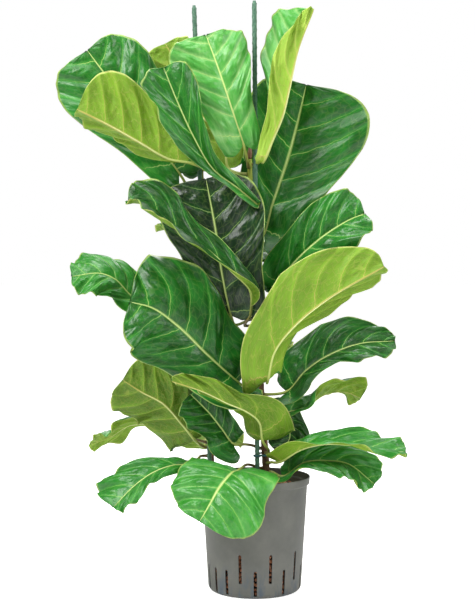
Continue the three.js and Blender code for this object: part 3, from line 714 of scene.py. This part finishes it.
# Each leaf: its stem, its node's height above the rim, points that lead its stalk, and the midrib from
# the blade's base to its tip, in millimetres from the node; the way its upper side faces at the base and
# the tip; half widths of the left and right sides at base, middle and tip; how far each side folds up at
# the base and the tip and curls up towards the margin, in degrees; and how light its green is, 0 to 1.
# That tone is partly the leaf's own green, with younger leaves lighter, and partly painted shade and light:
# lower on leaves that hang in shade, higher on leaves that catch a sheen.
LEAVES = (
    dict(name="crown_left", stem="second", node=455, stalk=((-16, -10, 6),), tone=0.42,
         rib=((-35, -40, 35), (-65, -40, 75), (-125, -40, 155), (-185, -35, 235)),
         up=((0, -0.95, 0.3), (-0.1, -1, 0.2)),
         half=((60, 84, 86), (80, 84, 70)), fold=((10, 6), (5, 5)), curl=(-15, -15)),
    dict(name="crown_left_front", stem="second", node=505, stalk=((14, -8, -6), (4, -34, -4)), tone=0.45,
         rib=((-20, -85, 0), (-50, -95, 5), (-95, -105, 30), (-140, -110, 55), (-190, -115, 80)),
         up=((-0.35, 0.85, 0.35), (-0.35, 0.85, 0.35)),
         half=((80, 80, 80), (46, 46, 46)), fold=((0, 60), (0, 55)), curl=(10, 10)),
    dict(name="crown_curled", stem="main", node=423, stalk=((18, -12, 4),), tone=0.4,
         rib=((10, -50, 15), (-20, -65, 40), (-60, -80, 70), (-90, -90, 120), (-115, -90, 175),
              (-135, -90, 225)),
         up=((-0.5, -0.7, 0.5), (0.1, -0.95, 0.3)),
         half=((18, 36, 68), (12, 26, 46)), fold=((35, 40), (30, 5)), curl=(10, 5)),
    dict(name="crown_face", stem="main", node=503, tone=0.76,
         rib=((-10, -40, 30), (-25, -50, 75), (-50, -50, 150), (-70, -40, 205)),
         up=((0, -0.97, 0.25), (0.1, -0.9, 0.4)),
         half=((58, 66, 76), (44, 50, 64)), fold=((8, 8), (5, 5)), curl=(-10, -10)),
    dict(name="crown_behind", stem="main", node=491, tone=0.45,
         rib=((-35, 20, 10), (-45, 30, 60), (-85, 45, 105), (-115, 50, 170), (-140, 50, 220)),
         up=((-0.2, 0.95, 0.2), (-0.2, 0.95, 0.2)),
         half=((50, 52, 52), (30, 44, 52)), fold=((15, 15), (10, 10)), curl=(10, 10)),
    dict(name="crown_right", stem="main", node=507, stalk=((16, -6, 4),), tone=0.75,
         rib=((20, -50, 0), (35, -55, 35), (50, -60, 70), (60, -60, 110), (75, -55, 175), (100, -50, 240)),
         up=((-0.95, 0.3, 0.1), (-0.9, 0.2, 0.3)),
         half=((24, 62, 100), (18, 46, 14)), fold=((62, 64), (50, 58)), curl=(5, -10)),
    dict(name="upper_right", stem="main", node=387, tone=0.36,
         rib=((20, 15, 5), (35, 20, 55), (60, 20, 130), (75, 20, 185), (90, 15, 250)),
         up=((-0.1, -0.9, 0.45), (-0.1, -1, 0.2)),
         half=((88, 92, 90), (85, 115, 118)), fold=((8, 8), (5, 5)), curl=(-12, -12)),
    # Near-black tone: painted shade from the leaves that hang over this one.
    dict(name="centre_dark", stem="main", node=255, stalk=((-34, -24, -8),), tone=0.02,
         rib=((-40, -30, 5), (-55, -40, 75), (-65, -40, 145), (-80, -30, 225)),
         up=((-0.25, -0.92, 0.3), (-0.15, -0.94, 0.25)),
         half=((56, 76, 92), (90, 92, 74)), fold=((12, 12), (5, 5)), curl=(-10, -10)),
    dict(name="centre_diagonal", stem="main", node=245, stalk=((-17, -8, 0), (-17, -28, 6), (-8, -54, 24)),
         tone=0.26,
         rib=((-10, -75, 60), (-35, -90, 85), (-80, -90, 125), (-125, -95, 155), (-170, -95, 190),
              (-200, -95, 195)),
         up=((0.2, -0.6, 0.75), (0.1, -0.7, 0.7)),
         half=((62, 56, 54), (26, 34, 50)), fold=((28, 20), (38, 20)), curl=(10, 0)),
    dict(name="middle_left", stem="main", node=145, stalk=((-20, -6, 0),), tone=0.34,
         rib=((-35, -40, 10), (-85, -55, 55), (-130, -70, 100), (-170, -85, 130), (-205, -90, 140)),
         up=((-0.2, -0.85, 0.5), (-0.3, -0.9, 0.4)),
         half=((80, 84, 78), (82, 98, 92)), fold=((8, 5), (0, 0)), curl=(-12, -12)),
    dict(name="far_left", stem="second", node=285, tone=0.52,
         rib=((-75, -15, 0), (-115, -25, 5), (-145, -40, 35), (-170, -45, 45), (-215, -50, 40)),
         up=((0, -0.7, 0.7), (0, -0.6, 0.8)),
         half=((52, 52, 52), (52, 52, 52)), fold=((10, 10), (5, 5)), curl=(-20, -20)),
    # Tone raised a little as painted sheen, for the highlights on this leaf.
    dict(name="middle_right", stem="main", node=270, tone=0.42,
         rib=((40, -5, 25), (50, -15, 60), (70, -20, 85), (110, -30, 120), (150, -35, 145),
              (175, -30, 155)),
         up=((-0.2, -0.8, 0.55), (-0.2, -0.8, 0.55)),
         half=((55, 55, 52), (46, 64, 48)), fold=((30, 10), (25, 10)), curl=(5, -10)),
    dict(name="right_pale", stem="main", node=155, stalk=((8, -16, 2),), tone=0.45,
         rib=((10, -65, 5), (20, -75, 50), (50, -80, 90), (105, -85, 135), (190, -95, 185)),
         up=((-0.35, 0.8, 0.45), (-0.35, 0.8, 0.45)),
         half=((46, 42, 34), (68, 92, 44)), fold=((20, 0), (20, 40)), curl=(5, 5)),
    dict(name="front_bowl", stem="main", node=39, stalk=((6, -16, 4),), tone=0.28,
         rib=((-5, -45, 25), (-10, -60, 55), (-30, -85, 75), (-60, -105, 90), (-100, -115, 110),
              (-145, -120, 125)),
         up=((0.1, 0.8, 0.6), (0.2, 0.7, 0.7)),
         half=((86, 30, 16), (56, 40, 28)), fold=((5, 30), (40, 40)), curl=(10, 10)),
    # Low tone: painted shade on this under side, which lies low in the shade of the leaves above.
    dict(name="lower_left_pale", stem="second", node=43, stalk=((-16, -10, 4),), tone=0.18,
         rib=((-25, -30, 15), (-45, -35, 40), (-75, -45, 75), (-110, -50, 95), (-140, -55, 115)),
         up=((-0.2, 0.85, 0.5), (-0.2, 0.85, 0.5)),
         half=((73, 66, 59), (77, 70, 63)), fold=((10, 10), (10, 10)), curl=(10, 10)),
    dict(name="lower_left_dark", stem="main", node=45, stalk=((-15, -2, 3), (-30, -16, 8)), tone=0.3,
         rib=((-50, -25, 10), (-70, -25, 35), (-90, -25, 60), (-120, -25, 90)),
         up=((0.2, -0.9, 0.4), (0.2, -0.9, 0.4)),
         half=((57, 50, 42), (39, 34, 29)), fold=((10, 30), (10, 25)), curl=(0, 0)),
    dict(name="far_left_arch", stem="second", node=51, tone=0.55,
         rib=((-60, 30, 10), (-100, 30, 25), (-135, 25, 25), (-170, 20, 5), (-200, 10, -5)),
         up=((0.1, 0.35, 0.93), (-0.3, 0.35, 0.9)),
         half=((42, 42, 42), (42, 42, 42)), fold=((5, 5), (5, 5)), curl=(-20, -20)),
    dict(name="left_drooping", stem="second", node=29, stalk=((-16, -8, 0), (-20, -36, 0)), tone=0.5,
         rib=((-30, -60, -5), (-60, -80, -5), (-90, -90, -15), (-120, -105, -35), (-150, -120, -65)),
         up=((-0.3, -0.6, 0.75), (-0.6, -0.7, 0.3)),
         half=((20, 28, 28), (18, 46, 68)), fold=((5, 10), (5, 5)), curl=(-10, -15)),
    dict(name="front_over_rim", stem="main", node=13, stalk=((-15, 1, 2), (-30, -14, 8)), tone=0.6,
         rib=((-45, -55, 5), (-55, -80, 5), (-75, -105, -15), (-90, -115, -40), (-105, -120, -65)),
         up=((-0.1, -0.6, 0.8), (-0.2, -0.95, 0.3)),
         half=((105, 98, 72), (108, 90, 56)), fold=((5, 5), (0, 0)), curl=(-18, -18)),
    dict(name="right_glossy", stem="main", node=133, tone=0.3,
         rib=((40, -10, 5), (70, -30, 40), (105, -40, 65), (155, -50, 85), (210, -60, 90)),
         up=((-0.2, -0.75, 0.6), (-0.2, -0.75, 0.6)),
         half=((60, 66, 16), (42, 32, 36)), fold=((15, 10), (15, 10)), curl=(0, -10)),
    dict(name="right_twisted", stem="main", node=103, tone=0.45,
         rib=((35, 5, 0), (70, 0, 10), (100, -5, 30), (135, -10, 35), (160, -10, 25)),
         up=((0, -0.5, 0.86), (0, 0.6, 0.8)),
         half=((42, 42, 42), (45, 45, 45)), fold=((10, 10), (10, 10)), curl=(0, 0)),
    dict(name="right_hanging", stem="main", node=83, tone=0.25,
         rib=((25, 20, 20), (40, 25, 0), (45, 30, -25), (30, 30, -50)),
         up=((0.3, -0.8, 0.5), (0.2, -0.95, -0.2)),
         half=((36, 36, 36), (36, 36, 36)), fold=((15, 15), (10, 10)), curl=(0, 0)),
    dict(name="right_arching", stem="main", node=23, stalk=((8, -16, 2),), tone=0.5,
         rib=((20, -35, 5), (55, -65, 30), (90, -80, 40), (125, -90, 40), (170, -100, 35), (215, -100, 30)),
         up=((-0.1, 0.2, 0.97), (0.1, -0.3, 0.95)),
         half=((53, 46, 39), (37, 32, 27)), fold=((48, 35), (5, 0)), curl=(0, -5)),
    dict(name="right_low", stem="main", node=7, tone=0.52,
         rib=((25, -15, -5), (60, -35, 20), (100, -50, 25), (130, -55, 20), (170, -65, -10)),
         up=((0, -0.5, 0.86), (0.4, -0.6, 0.7)),
         half=((38, 38, 38), (38, 38, 38)), fold=((30, 5), (20, 5)), curl=(0, 0)),
    dict(name="crown_back", stem="second", node=501, stalk=((14, 12, 4),), tone=0.3,
         rib=((-5, 25, 10), (5, 40, 55), (15, 50, 105), (25, 55, 160)),
         up=((0, -0.9, 0.4), (0, -0.9, 0.4)),
         half=((55, 55, 55), (55, 55, 55)), fold=((10, 10), (5, 5)), curl=(-10, -10)),
    dict(name="back_right", stem="main", node=335, tone=0.35,
         rib=((0, 35, 15), (15, 90, 40), (30, 150, 60), (35, 210, 60)),
         up=((0, -0.3, 0.95), (0, 0.3, 0.95)),
         half=((75, 75, 75), (75, 75, 75)), fold=((10, 10), (5, 5)), curl=(-15, -15)),
    dict(name="back_left", stem="second", node=375, tone=0.4,
         rib=((-5, 30, 10), (-10, 75, 30), (-15, 125, 35), (-20, 180, 30)),
         up=((0, -0.3, 0.95), (0, 0.3, 0.95)),
         half=((72, 72, 72), (72, 72, 72)), fold=((10, 10), (5, 5)), curl=(-15, -15)),
    dict(name="back_middle", stem="main", node=199, tone=0.3,
         rib=((-5, 35, 0), (-5, 90, 10), (-10, 150, 10), (-10, 210, -5)),
         up=((0, -0.3, 0.95), (0, 0.3, 0.95)),
         half=((75, 75, 75), (75, 75, 75)), fold=((10, 10), (5, 5)), curl=(-15, -15)),
    dict(name="back_low", stem="second", node=65, tone=0.4,
         rib=((0, 30, -10), (-5, 75, -5), (-10, 125, -20), (-15, 170, -50)),
         up=((0, -0.3, 0.95), (0, 0.35, 0.93)),
         half=((68, 68, 68), (68, 68, 68)), fold=((10, 10), (5, 5)), curl=(-15, -15)),
)

# Down the blade: where a side vein leaves the midrib, where it meets the margin, and the half width.
OUTLINE = np.array((
    (0, -0.01, 0.06), (0.005, -0.06, 0.28), (0.015, -0.055, 0.5), (0.04, 0.035, 0.66),
    (0.08, 0.17, 0.72), (0.13, 0.31, 0.74), (0.2, 0.46, 0.8), (0.29, 0.6, 0.92),
    (0.39, 0.72, 1), (0.5, 0.82, 1), (0.62, 0.91, 0.93), (0.75, 0.97, 0.79),
    (0.88, 1.0, 0.56), (0.96, 1.008, 0.32), (1, 1, 0.02),
))
BLADE_ACROSS = 60
BLADE_ALONG = 104
BLADE_THICKNESS = 0.9
STALK_RADIUS = 2.3
RIB_TIP_RADIUS = 0.35
SIDE_VEINS = 6
VEIN_STAGGER = 0.3
QUILT_HEIGHT = 3.8
GROOVE_DEPTH = 1.3
GROOVE_WIDTH = 3.2
NET_HEIGHT = 1.5
VEIN_RIDGE = 1.1
MARGIN_WAVE = 5.5
MARGIN_RIPPLE = 2.0
RIPPLES = 7
# How much of a side vein's way forward comes late, near the margin.
VEIN_CURVE = 0.4
# Powers that crowd the quads towards the midrib and the base.
ACROSS_CROWDING = 1.25
ALONG_CROWDING = 1.4
RIB_BASE_RADIUS = 1.7
STALK_FLARE = 0.9
STALK_FOOT = 6
STALK_SIDES = 10
LINE_STEPS = 16


def between(x, knots, values):
    """Smooth values between knots, through each of them."""
    slopes = np.gradient(values, knots)
    i = np.clip(np.searchsorted(knots, x) - 1, 0, len(knots) - 2)
    step = knots[i + 1] - knots[i]
    t = (x - knots[i]) / step
    return ((2 * t**3 - 3 * t**2 + 1) * values[i] + (t**3 - 2 * t**2 + t) * step * slopes[i]
            + (3 * t**2 - 2 * t**3) * values[i + 1] + (t**3 - t**2) * step * slopes[i + 1])


def smooth_points(points):
    """A centripetal smooth line through points, as evenly many samples for each span."""
    points = np.array(points, float)
    points = np.vstack([2 * points[0] - points[1], points, 2 * points[-1] - points[-2]])
    samples = [points[1]]
    for p0, p1, p2, p3 in zip(points, points[1:], points[2:], points[3:]):
        before, here, after = (np.sum((b - a) ** 2) ** 0.25 for a, b in ((p0, p1), (p1, p2), (p2, p3)))
        leave = ((p1 - p0) / before - (p2 - p0) / (before + here) + (p2 - p1) / here) * here
        arrive = ((p2 - p1) / here - (p3 - p1) / (here + after) + (p3 - p2) / after) * here
        for t in np.arange(1, LINE_STEPS + 1) / LINE_STEPS:
            samples.append((2 * t**3 - 3 * t**2 + 1) * p1 + (t**3 - 2 * t**2 + t) * leave
                           + (3 * t**2 - 2 * t**3) * p2 + (t**3 - t**2) * arrive)
    return np.array(samples)


def lie_along(values, lengths, at):
    """Values read at lengths down a line, run on straight past both ends."""
    i = np.clip(np.searchsorted(lengths, at) - 1, 0, len(lengths) - 2)
    share = ((at - lengths[i]) / (lengths[i + 1] - lengths[i]))[:, None]
    return values[i] * (1 - share) + values[i + 1] * share


def unit(vectors):
    """Vectors made one long."""
    return vectors / np.linalg.norm(vectors, axis=-1, keepdims=True)


class Leaf:
    """One leaf's midrib line and the skin that hangs from it."""

    def __init__(self, row):
        centre = stem_centre(row["stem"], row["node"])
        reach = stem_radius(row["stem"], row["node"])
        stalk = [centre + p for p in np.array(row.get("stalk", ()), float).reshape(-1, 3)]
        rib = [centre + p for p in np.array(row["rib"], float)]
        away = (stalk + rib)[0] - centre
        away[2] = 0
        away = unit(away)
        start = centre + away * (reach - 1)
        self.samples = smooth_points([start, start + away * STALK_FOOT, *stalk, *rib])
        gaps = np.linalg.norm(np.diff(self.samples, axis=0), axis=1)
        self.lengths = np.concatenate([[0], np.cumsum(gaps)])
        padded = np.vstack([self.samples[:1], self.samples, self.samples[-1:]])
        self.ways = unit(padded[2:] - padded[:-2])
        self.blade_start = self.lengths[(2 + len(stalk)) * LINE_STEPS]
        self.blade_length = self.lengths[-1] - self.blade_start
        self.up = unit(np.array(row["up"], float))
        self.half = np.array(row["half"], float)
        self.fold = np.radians(np.array(row["fold"], float))
        self.curl = np.radians(np.array(row["curl"], float)) / self.half[:, 1]
        seed = random.Random(row["name"])
        self.phases = [seed.uniform(0, math.tau) for _ in range(6)]
        self.waves = [seed.uniform(2.2, 3.4) for _ in range(2)]
        self.stagger = VEIN_STAGGER * seed.choice((-1, 1))

    def frame(self, share):
        """The midrib's point, way on, face and right at shares of the blade's length."""
        at = self.blade_start + share * self.blade_length
        point = lie_along(self.samples, self.lengths, at)
        ahead = unit(lie_along(self.ways, self.lengths, np.clip(at, 0, self.lengths[-1])))
        mix = np.clip(share, 0, 1)[:, None]
        face = self.up[0] * (1 - mix) + self.up[1] * mix
        face = unit(face - ahead * np.sum(face * ahead, axis=1)[:, None])
        return point, ahead, face, np.cross(ahead, face)

    def skin(self, across, along):
        """Points of the blade without its relief; across runs from -1 at the left margin to 1."""
        out = np.abs(across)
        leave = between(along, OUTLINE[:, 0], OUTLINE[:, 0])
        arrive = between(along, OUTLINE[:, 0], OUTLINE[:, 1])
        width = np.clip(between(along, OUTLINE[:, 0], OUTLINE[:, 2]), 0.01, 1.1)
        share = leave + (arrive - leave) * ((1 - VEIN_CURVE) * out + VEIN_CURVE * out**2)
        point, _, face, right = self.frame(share)
        which = (across > 0).astype(int)
        mix = np.clip(share, 0, 1)
        left, right_half = (np.interp(mix, (0, 0.5, 1), half) for half in self.half)
        reach = width * out * np.where(which, right_half, left)
        fold = self.fold[0][which] * (1 - mix) + self.fold[1][which] * mix
        middle = fold + self.curl[which] * reach / 2
        side = np.sign(across)
        return (point + right * (side * reach * np.cos(middle))[:, None]
                + face * (reach * np.sin(middle))[:, None])

    def relief(self, across, along, under):
        """How far the skin stands up from its plain shape, in millimetres."""
        out = np.abs(across)
        side = (across > 0).astype(int)
        beat = (along * SIDE_VEINS + self.stagger * side) % 1
        off_vein = np.abs(beat - 0.5) * 2
        width = between(along, OUTLINE[:, 0], OUTLINE[:, 2])
        from_rib = out * width * self.half[side, 1]
        spread = np.clip((from_rib - 3) / 14, 0, 1) * (1 - 0.75 * np.clip((out - 0.7) / 0.3, 0, 1))
        puff = QUILT_HEIGHT * (1 - np.exp(-(off_vein / 0.42) ** 2)) * spread
        net = NET_HEIGHT * np.sin(out * 17 + 2.5 * np.sin(along * 23 + self.phases[4])) * spread * off_vein
        net *= np.sin(along * 41 + 4 * out + self.phases[5])
        groove = -GROOVE_DEPTH * np.exp(-(from_rib / GROOVE_WIDTH) ** 2)
        wave = np.where(side == 1, np.sin(along * math.tau * self.waves[0] + self.phases[0]),
                        np.sin(along * math.tau * self.waves[1] + self.phases[1]))
        small = np.where(side == 1, np.sin(along * math.tau * RIPPLES + self.phases[2]),
                         np.sin(along * math.tau * RIPPLES + self.phases[3]))
        calm = np.clip((1 - along) * 5, 0, 1) * np.clip(along * 12, 0, 1)
        rim = (MARGIN_WAVE * wave * out**2.2 + MARGIN_RIPPLE * small * out**4) * calm
        skin_height = puff + net + groove + rim
        if under:
            ends = np.clip(along * 20, 0, 1) * np.clip((1 - along) * 20, 0, 1)
            edge = np.clip((1 - out) * 7, 0, 1) * ends
            ridge = VEIN_RIDGE * np.exp(-(off_vein / 0.09) ** 2) * spread * (1 - out) ** 0.5
            return skin_height - (BLADE_THICKNESS + ridge) * edge ** 0.5 * (edge > 0)
        return skin_height


def add_blade(bm, leaf, tone):
    """Both faces of a leaf's blade, closed where they meet at the margin."""
    layers = [bm.verts.layers.float.new(name) for name in ("across", "along", "tone")]
    sides = []
    for under in (False, True):
        flip = -1 if under else 1

        def crowd(u, v, flip=flip):
            plain = (2 * u - 1) * flip
            return np.sign(plain) * np.abs(plain) ** ACROSS_CROWDING, v**ALONG_CROWDING

        def surface(u, v, under=under, crowd=crowd):
            u, v = crowd(u, v)
            du = leaf.skin(np.clip(u + 0.01, -1, 1), v) - leaf.skin(np.clip(u - 0.01, -1, 1), v)
            dv = leaf.skin(u, np.clip(v + 0.01, 0, 1)) - leaf.skin(u, np.clip(v - 0.01, 0, 1))
            normal = unit(np.cross(du, dv))
            return (leaf.skin(u, v) + normal * leaf.relief(u, v, under)[:, None]) * MM

        verts, flat = lay_grid(bm, BLADE_ACROSS, BLADE_ALONG, surface)
        for vert, across, along in zip(verts, *crowd(flat[:, 0], flat[:, 1])):
            vert[layers[0]] = across
            vert[layers[1]] = along
            vert[layers[2]] = tone
        faces = {face for vert in verts for face in vert.link_faces}
        for face in faces:
            face.material_index = int(under)
        sides += verts
    bmesh.ops.remove_doubles(bm, verts=sides, dist=2 * WELD)
    return layers


def add_stalk(bm, leaf, layers, tone):
    """The stalk and the midrib that it becomes, as one tapering tube along the leaf's line."""
    lengths = np.concatenate([np.linspace(0, leaf.blade_start, 14)[:-1],
                              leaf.blade_start + np.linspace(0, 0.985, 44) * leaf.blade_length])
    share = (lengths - leaf.blade_start) / leaf.blade_length
    point, _, face, _ = leaf.frame(share)
    on_blade = np.clip(share, 0, 1)
    slim = RIB_TIP_RADIUS + (RIB_BASE_RADIUS - RIB_TIP_RADIUS) * (1 - on_blade) ** 1.2
    neck = (STALK_RADIUS - RIB_BASE_RADIUS) * np.exp(-on_blade * 12)
    radii = np.where(share < 0, STALK_RADIUS, slim + neck) + STALK_FLARE * np.exp(-lengths / 4)
    sunk = np.clip(share * leaf.blade_length / 10 + 1, 0, 1) * (GROOVE_DEPTH * np.clip(on_blade * 30, 0, 1))
    centres = point - face * (sunk + radii * 0.62)[:, None]
    before = set(bm.faces)
    for vert in lay_tube(bm, centres, lambda i, turn: radii[i], STALK_SIDES):
        vert[layers[2]] = tone
        near = np.argmin(np.sum((centres * MM - np.array(vert.co)) ** 2, axis=1))
        vert[layers[1]] = share[near]
    for face in bm.faces:
        if face not in before:
            face.material_index = 2


def vein_masks(tree):
    """Nodes that draw the leaf's veins: where they are, from 0 to 1, and a fine net between them."""
    across = add_node(tree, "ShaderNodeAttribute", {"attribute_name": "across"}).outputs["Fac"]
    along = add_node(tree, "ShaderNodeAttribute", {"attribute_name": "along"}).outputs["Fac"]
    vein_shift = add_node(tree, "ShaderNodeAttribute", {"attribute_name": "stagger"}).outputs["Fac"]
    out = add_node(tree, "ShaderNodeMath", {"operation": "ABSOLUTE"}, {0: across})
    place = add_node(tree, "ShaderNodeCombineXYZ", links={"X": across, "Y": along})
    drift = add_node(
        tree, "ShaderNodeTexNoise", {"Scale": 7.0, "Detail": 2.0}, {"Vector": place}).outputs["Fac"]
    on_right = add_node(tree, "ShaderNodeMath", {"operation": "GREATER_THAN", 1: 0.0}, {0: across})
    shift = add_node(tree, "ShaderNodeMath", {"operation": "MULTIPLY"}, {0: on_right, 1: vein_shift})
    wander = add_node(
        tree, "ShaderNodeMath", {"operation": "MULTIPLY_ADD", 1: 0.16}, {0: drift, 2: shift})
    beats = add_node(
        tree, "ShaderNodeMath", {"operation": "MULTIPLY_ADD", 1: float(SIDE_VEINS)},
        {0: along, 2: wander})
    centred = add_node(tree, "ShaderNodeMath", {"operation": "SUBTRACT", 1: 0.08}, {0: beats})
    beat = add_node(tree, "ShaderNodeMath", {"operation": "FRACT"}, {0: centred})
    offset = add_node(tree, "ShaderNodeMath", {"operation": "SUBTRACT", 1: 0.5}, {0: beat})
    away = add_node(tree, "ShaderNodeMath", {"operation": "ABSOLUTE"}, {0: offset})
    half_width = add_node(
        tree, "ShaderNodeMapRange", {"From Max": 1.0, "To Min": 0.021, "To Max": 0.006}, {"Value": out})
    core = add_node(tree, "ShaderNodeMath", {"operation": "MULTIPLY", 1: 0.45}, {0: half_width})
    side_vein = add_node(
        tree, "ShaderNodeMapRange", {"interpolation_type": "SMOOTHSTEP"},
        {"Value": away, "From Min": half_width, "From Max": core})
    midrib = add_node(
        tree, "ShaderNodeMapRange",
        {"From Min": 0.035, "From Max": 0.012, "interpolation_type": "SMOOTHSTEP"}, {"Value": out})
    fading = add_node(
        tree, "ShaderNodeMapRange", {"From Min": 0.45, "From Max": 0.95, "To Min": 1.0, "To Max": 0.25},
        {"Value": out})
    faded = add_node(tree, "ShaderNodeMath", {"operation": "MULTIPLY"}, {0: side_vein, 1: fading})
    veins = add_node(tree, "ShaderNodeMath", {"operation": "MAXIMUM"}, {0: faded, 1: midrib})
    # Meshes of the net are 4 to 8 mm across a panel.
    panel = add_node(tree, "ShaderNodeMapping", {"Scale": (9.0, 26.0, 1.0)}, {"Vector": place})
    cells = add_node(
        tree, "ShaderNodeTexVoronoi", {"feature": "DISTANCE_TO_EDGE", "Scale": 1.0},
        {"Vector": panel}).outputs["Distance"]
    net = add_node(
        tree, "ShaderNodeMapRange",
        {"From Min": 0.075, "From Max": 0.01, "interpolation_type": "SMOOTHSTEP"}, {"Value": cells})
    fine_panel = add_node(tree, "ShaderNodeMapping", {"Scale": (30.0, 80.0, 1.0)}, {"Vector": place})
    fine = add_node(
        tree, "ShaderNodeTexVoronoi", {"feature": "DISTANCE_TO_EDGE", "Scale": 1.0},
        {"Vector": fine_panel}).outputs["Distance"]
    edge = add_node(tree, "ShaderNodeMapRange", {"From Min": 0.965, "From Max": 0.995}, {"Value": out})
    return {"place": place, "veins": veins, "net": net, "fine": fine, "edge": edge, "cells": cells,
            "off_vein": away}


def leaf_colour(tree, masks, greens, vein, margin, net_share):
    """A leaf face's colour: patchy green by the leaf's tone, its own green with painted shade and light in
    it, then net, veins and pale margin.
    """
    tone = add_node(tree, "ShaderNodeAttribute", {"attribute_name": "tone"}).outputs["Fac"]
    patches = add_node(
        tree, "ShaderNodeTexNoise", {"Scale": 3.2, "Detail": 5.0, "Roughness": 0.62},
        {"Vector": masks["place"]}).outputs["Fac"]
    patchy = add_node(
        tree, "ShaderNodeMath", {"operation": "MULTIPLY_ADD", 1: 0.6, 2: -0.3}, {0: patches})
    # Skin next to a vein is lighter than the middle of a panel.
    beside = add_node(
        tree, "ShaderNodeMapRange", {"From Min": 0.16, "From Max": 0.03, "To Max": 0.16},
        {"Value": masks["off_vein"]})
    mixed = add_node(tree, "ShaderNodeMath", {"operation": "ADD"}, {0: tone, 1: patchy})
    lifted = add_node(tree, "ShaderNodeMath", {"operation": "ADD"}, {0: mixed, 1: beside})
    stops = [(i / (len(greens) - 1), green) for i, green in enumerate(greens)]
    ramp = add_node(tree, "ShaderNodeValToRGB", {"stops": stops}, {"Fac": lifted})
    netted = add_node(
        tree, "ShaderNodeMath", {"operation": "MULTIPLY", 1: net_share}, {0: masks["net"]})
    with_net = add_node(
        tree, "ShaderNodeMix", {"data_type": "RGBA", "B": srgb(vein)},
        {"Factor": netted, "A": ramp}).outputs[2]
    # On a dark leaf, dark from its age and from painted shade, the veins are dimmer too.
    clear = add_node(
        tree, "ShaderNodeMapRange", {"From Max": 0.6, "To Min": 0.5, "To Max": 0.9}, {"Value": tone})
    drawn = add_node(tree, "ShaderNodeMath", {"operation": "MULTIPLY"}, {0: masks["veins"], 1: clear})
    with_veins = add_node(
        tree, "ShaderNodeMix", {"data_type": "RGBA", "B": srgb(vein)},
        {"Factor": drawn, "A": with_net}).outputs[2]
    return add_node(
        tree, "ShaderNodeMix", {"data_type": "RGBA", "B": srgb(margin)},
        {"Factor": masks["edge"], "A": with_veins}).outputs[2]


# Upper skin: thick waxy cuticle over deep green, with cream veins sunk in it and a soft gloss.
leaf_upper, tree = new_material("fig_leaf_upper_waxy")
masks = vein_masks(tree)
colour = leaf_colour(tree, masks, ("#042206", "#0c440c", "#1e721c", "#459438", "#86b86c"), "#a9c86a",
                     "#a3bd62", 0.07)
sink = add_node(
    tree, "ShaderNodeMath", {"operation": "MULTIPLY_ADD", 1: -0.7},
    {0: masks["veins"], 2: masks["cells"]})
pore = add_node(
    tree, "ShaderNodeMath", {"operation": "MULTIPLY_ADD", 1: 0.25}, {0: masks["fine"], 2: sink})
skin_bump = add_node(tree, "ShaderNodeBump", {"Strength": 0.55, "Distance": 0.0011}, {"Height": pore})
wax = add_node(tree, "ShaderNodeTexNoise", {"Scale": 5.0, "Detail": 4.0}, {"Vector": masks["place"]})
gloss = add_node(tree, "ShaderNodeMapRange", {"To Min": 0.24, "To Max": 0.4}, {"Value": wax.outputs["Fac"]})
finish_material(
    tree,
    add_node(
        tree, "ShaderNodeBsdfPrincipled", {"IOR": 1.45, "Specular IOR Level": 0.45},
        {"Base Color": colour, "Roughness": gloss, "Normal": skin_bump}))

# Under skin: matt yellow-green, with raised pale veins and a fine raised net.
leaf_under, tree = new_material("fig_leaf_under_matt")
masks = vein_masks(tree)
colour = leaf_colour(tree, masks, ("#3a5a08", "#567a10", "#6f961c", "#86ab2e", "#a4c24c"), "#b8ab58",
                     "#c0c870", 0.2)
rise = add_node(
    tree, "ShaderNodeMath", {"operation": "MULTIPLY_ADD", 1: 0.8}, {0: masks["net"], 2: masks["veins"]})
skin_bump = add_node(tree, "ShaderNodeBump", {"Strength": 0.6, "Distance": 0.0012}, {"Height": rise})
down = add_node(tree, "ShaderNodeTexNoise", {"Scale": 9.0, "Detail": 4.0}, {"Vector": masks["place"]})
matt = add_node(tree, "ShaderNodeMapRange", {"To Min": 0.5, "To Max": 0.68}, {"Value": down.outputs["Fac"]})
finish_material(
    tree,
    add_node(
        tree, "ShaderNodeBsdfPrincipled", {"IOR": 1.42},
        {"Base Color": colour, "Roughness": matt, "Normal": skin_bump}))

# Stalk and midrib: smooth and fleshy, red-brown where it springs from the stem, cream along the blade.
leaf_stalk, tree = new_material("fig_leaf_stalk_fleshy")
place = add_node(tree, "ShaderNodeTexCoord").outputs["Object"]
along = add_node(tree, "ShaderNodeAttribute", {"attribute_name": "along"}).outputs["Fac"]
speck = add_node(
    tree, "ShaderNodeTexNoise", {"Scale": 220.0, "Detail": 4.0}, {"Vector": place}).outputs["Fac"]
specked = add_node(tree, "ShaderNodeMath", {"operation": "MULTIPLY_ADD", 1: 0.12}, {0: speck, 2: along})
grown = add_node(tree, "ShaderNodeMapRange", {"From Min": -0.22, "From Max": 0.5}, {"Value": specked})
tone = add_node(
    tree, "ShaderNodeValToRGB", {"stops": ((0.0, "#6b5a2c"), (0.3, "#9aa94a"), (1.0, "#c5d08a"))},
    {"Fac": grown})
stalk_bump = add_node(tree, "ShaderNodeBump", {"Strength": 0.25, "Distance": 0.0005}, {"Height": speck})
finish_material(
    tree,
    add_node(
        tree, "ShaderNodeBsdfPrincipled", {"Roughness": 0.45},
        {"Base Color": tone, "Normal": stalk_bump}))

# Every leaf: its blade and stalk as one object, with upper, under and stalk materials.
for row in LEAVES:
    leaf = Leaf(row)
    leaf_mesh = bmesh.new()
    layers = add_blade(leaf_mesh, leaf, row.get("tone", 0.35))
    add_stalk(leaf_mesh, leaf, layers, row.get("tone", 0.35))
    stagger = leaf_mesh.verts.layers.float.new("stagger")
    for vert in leaf_mesh.verts:
        vert[stagger] = leaf.stagger
    made = mesh_object(row["name"] + "_blade", leaf_mesh, [leaf_upper, leaf_under, leaf_stalk])
    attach(made, "root")
    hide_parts("leaf_" + row["name"])
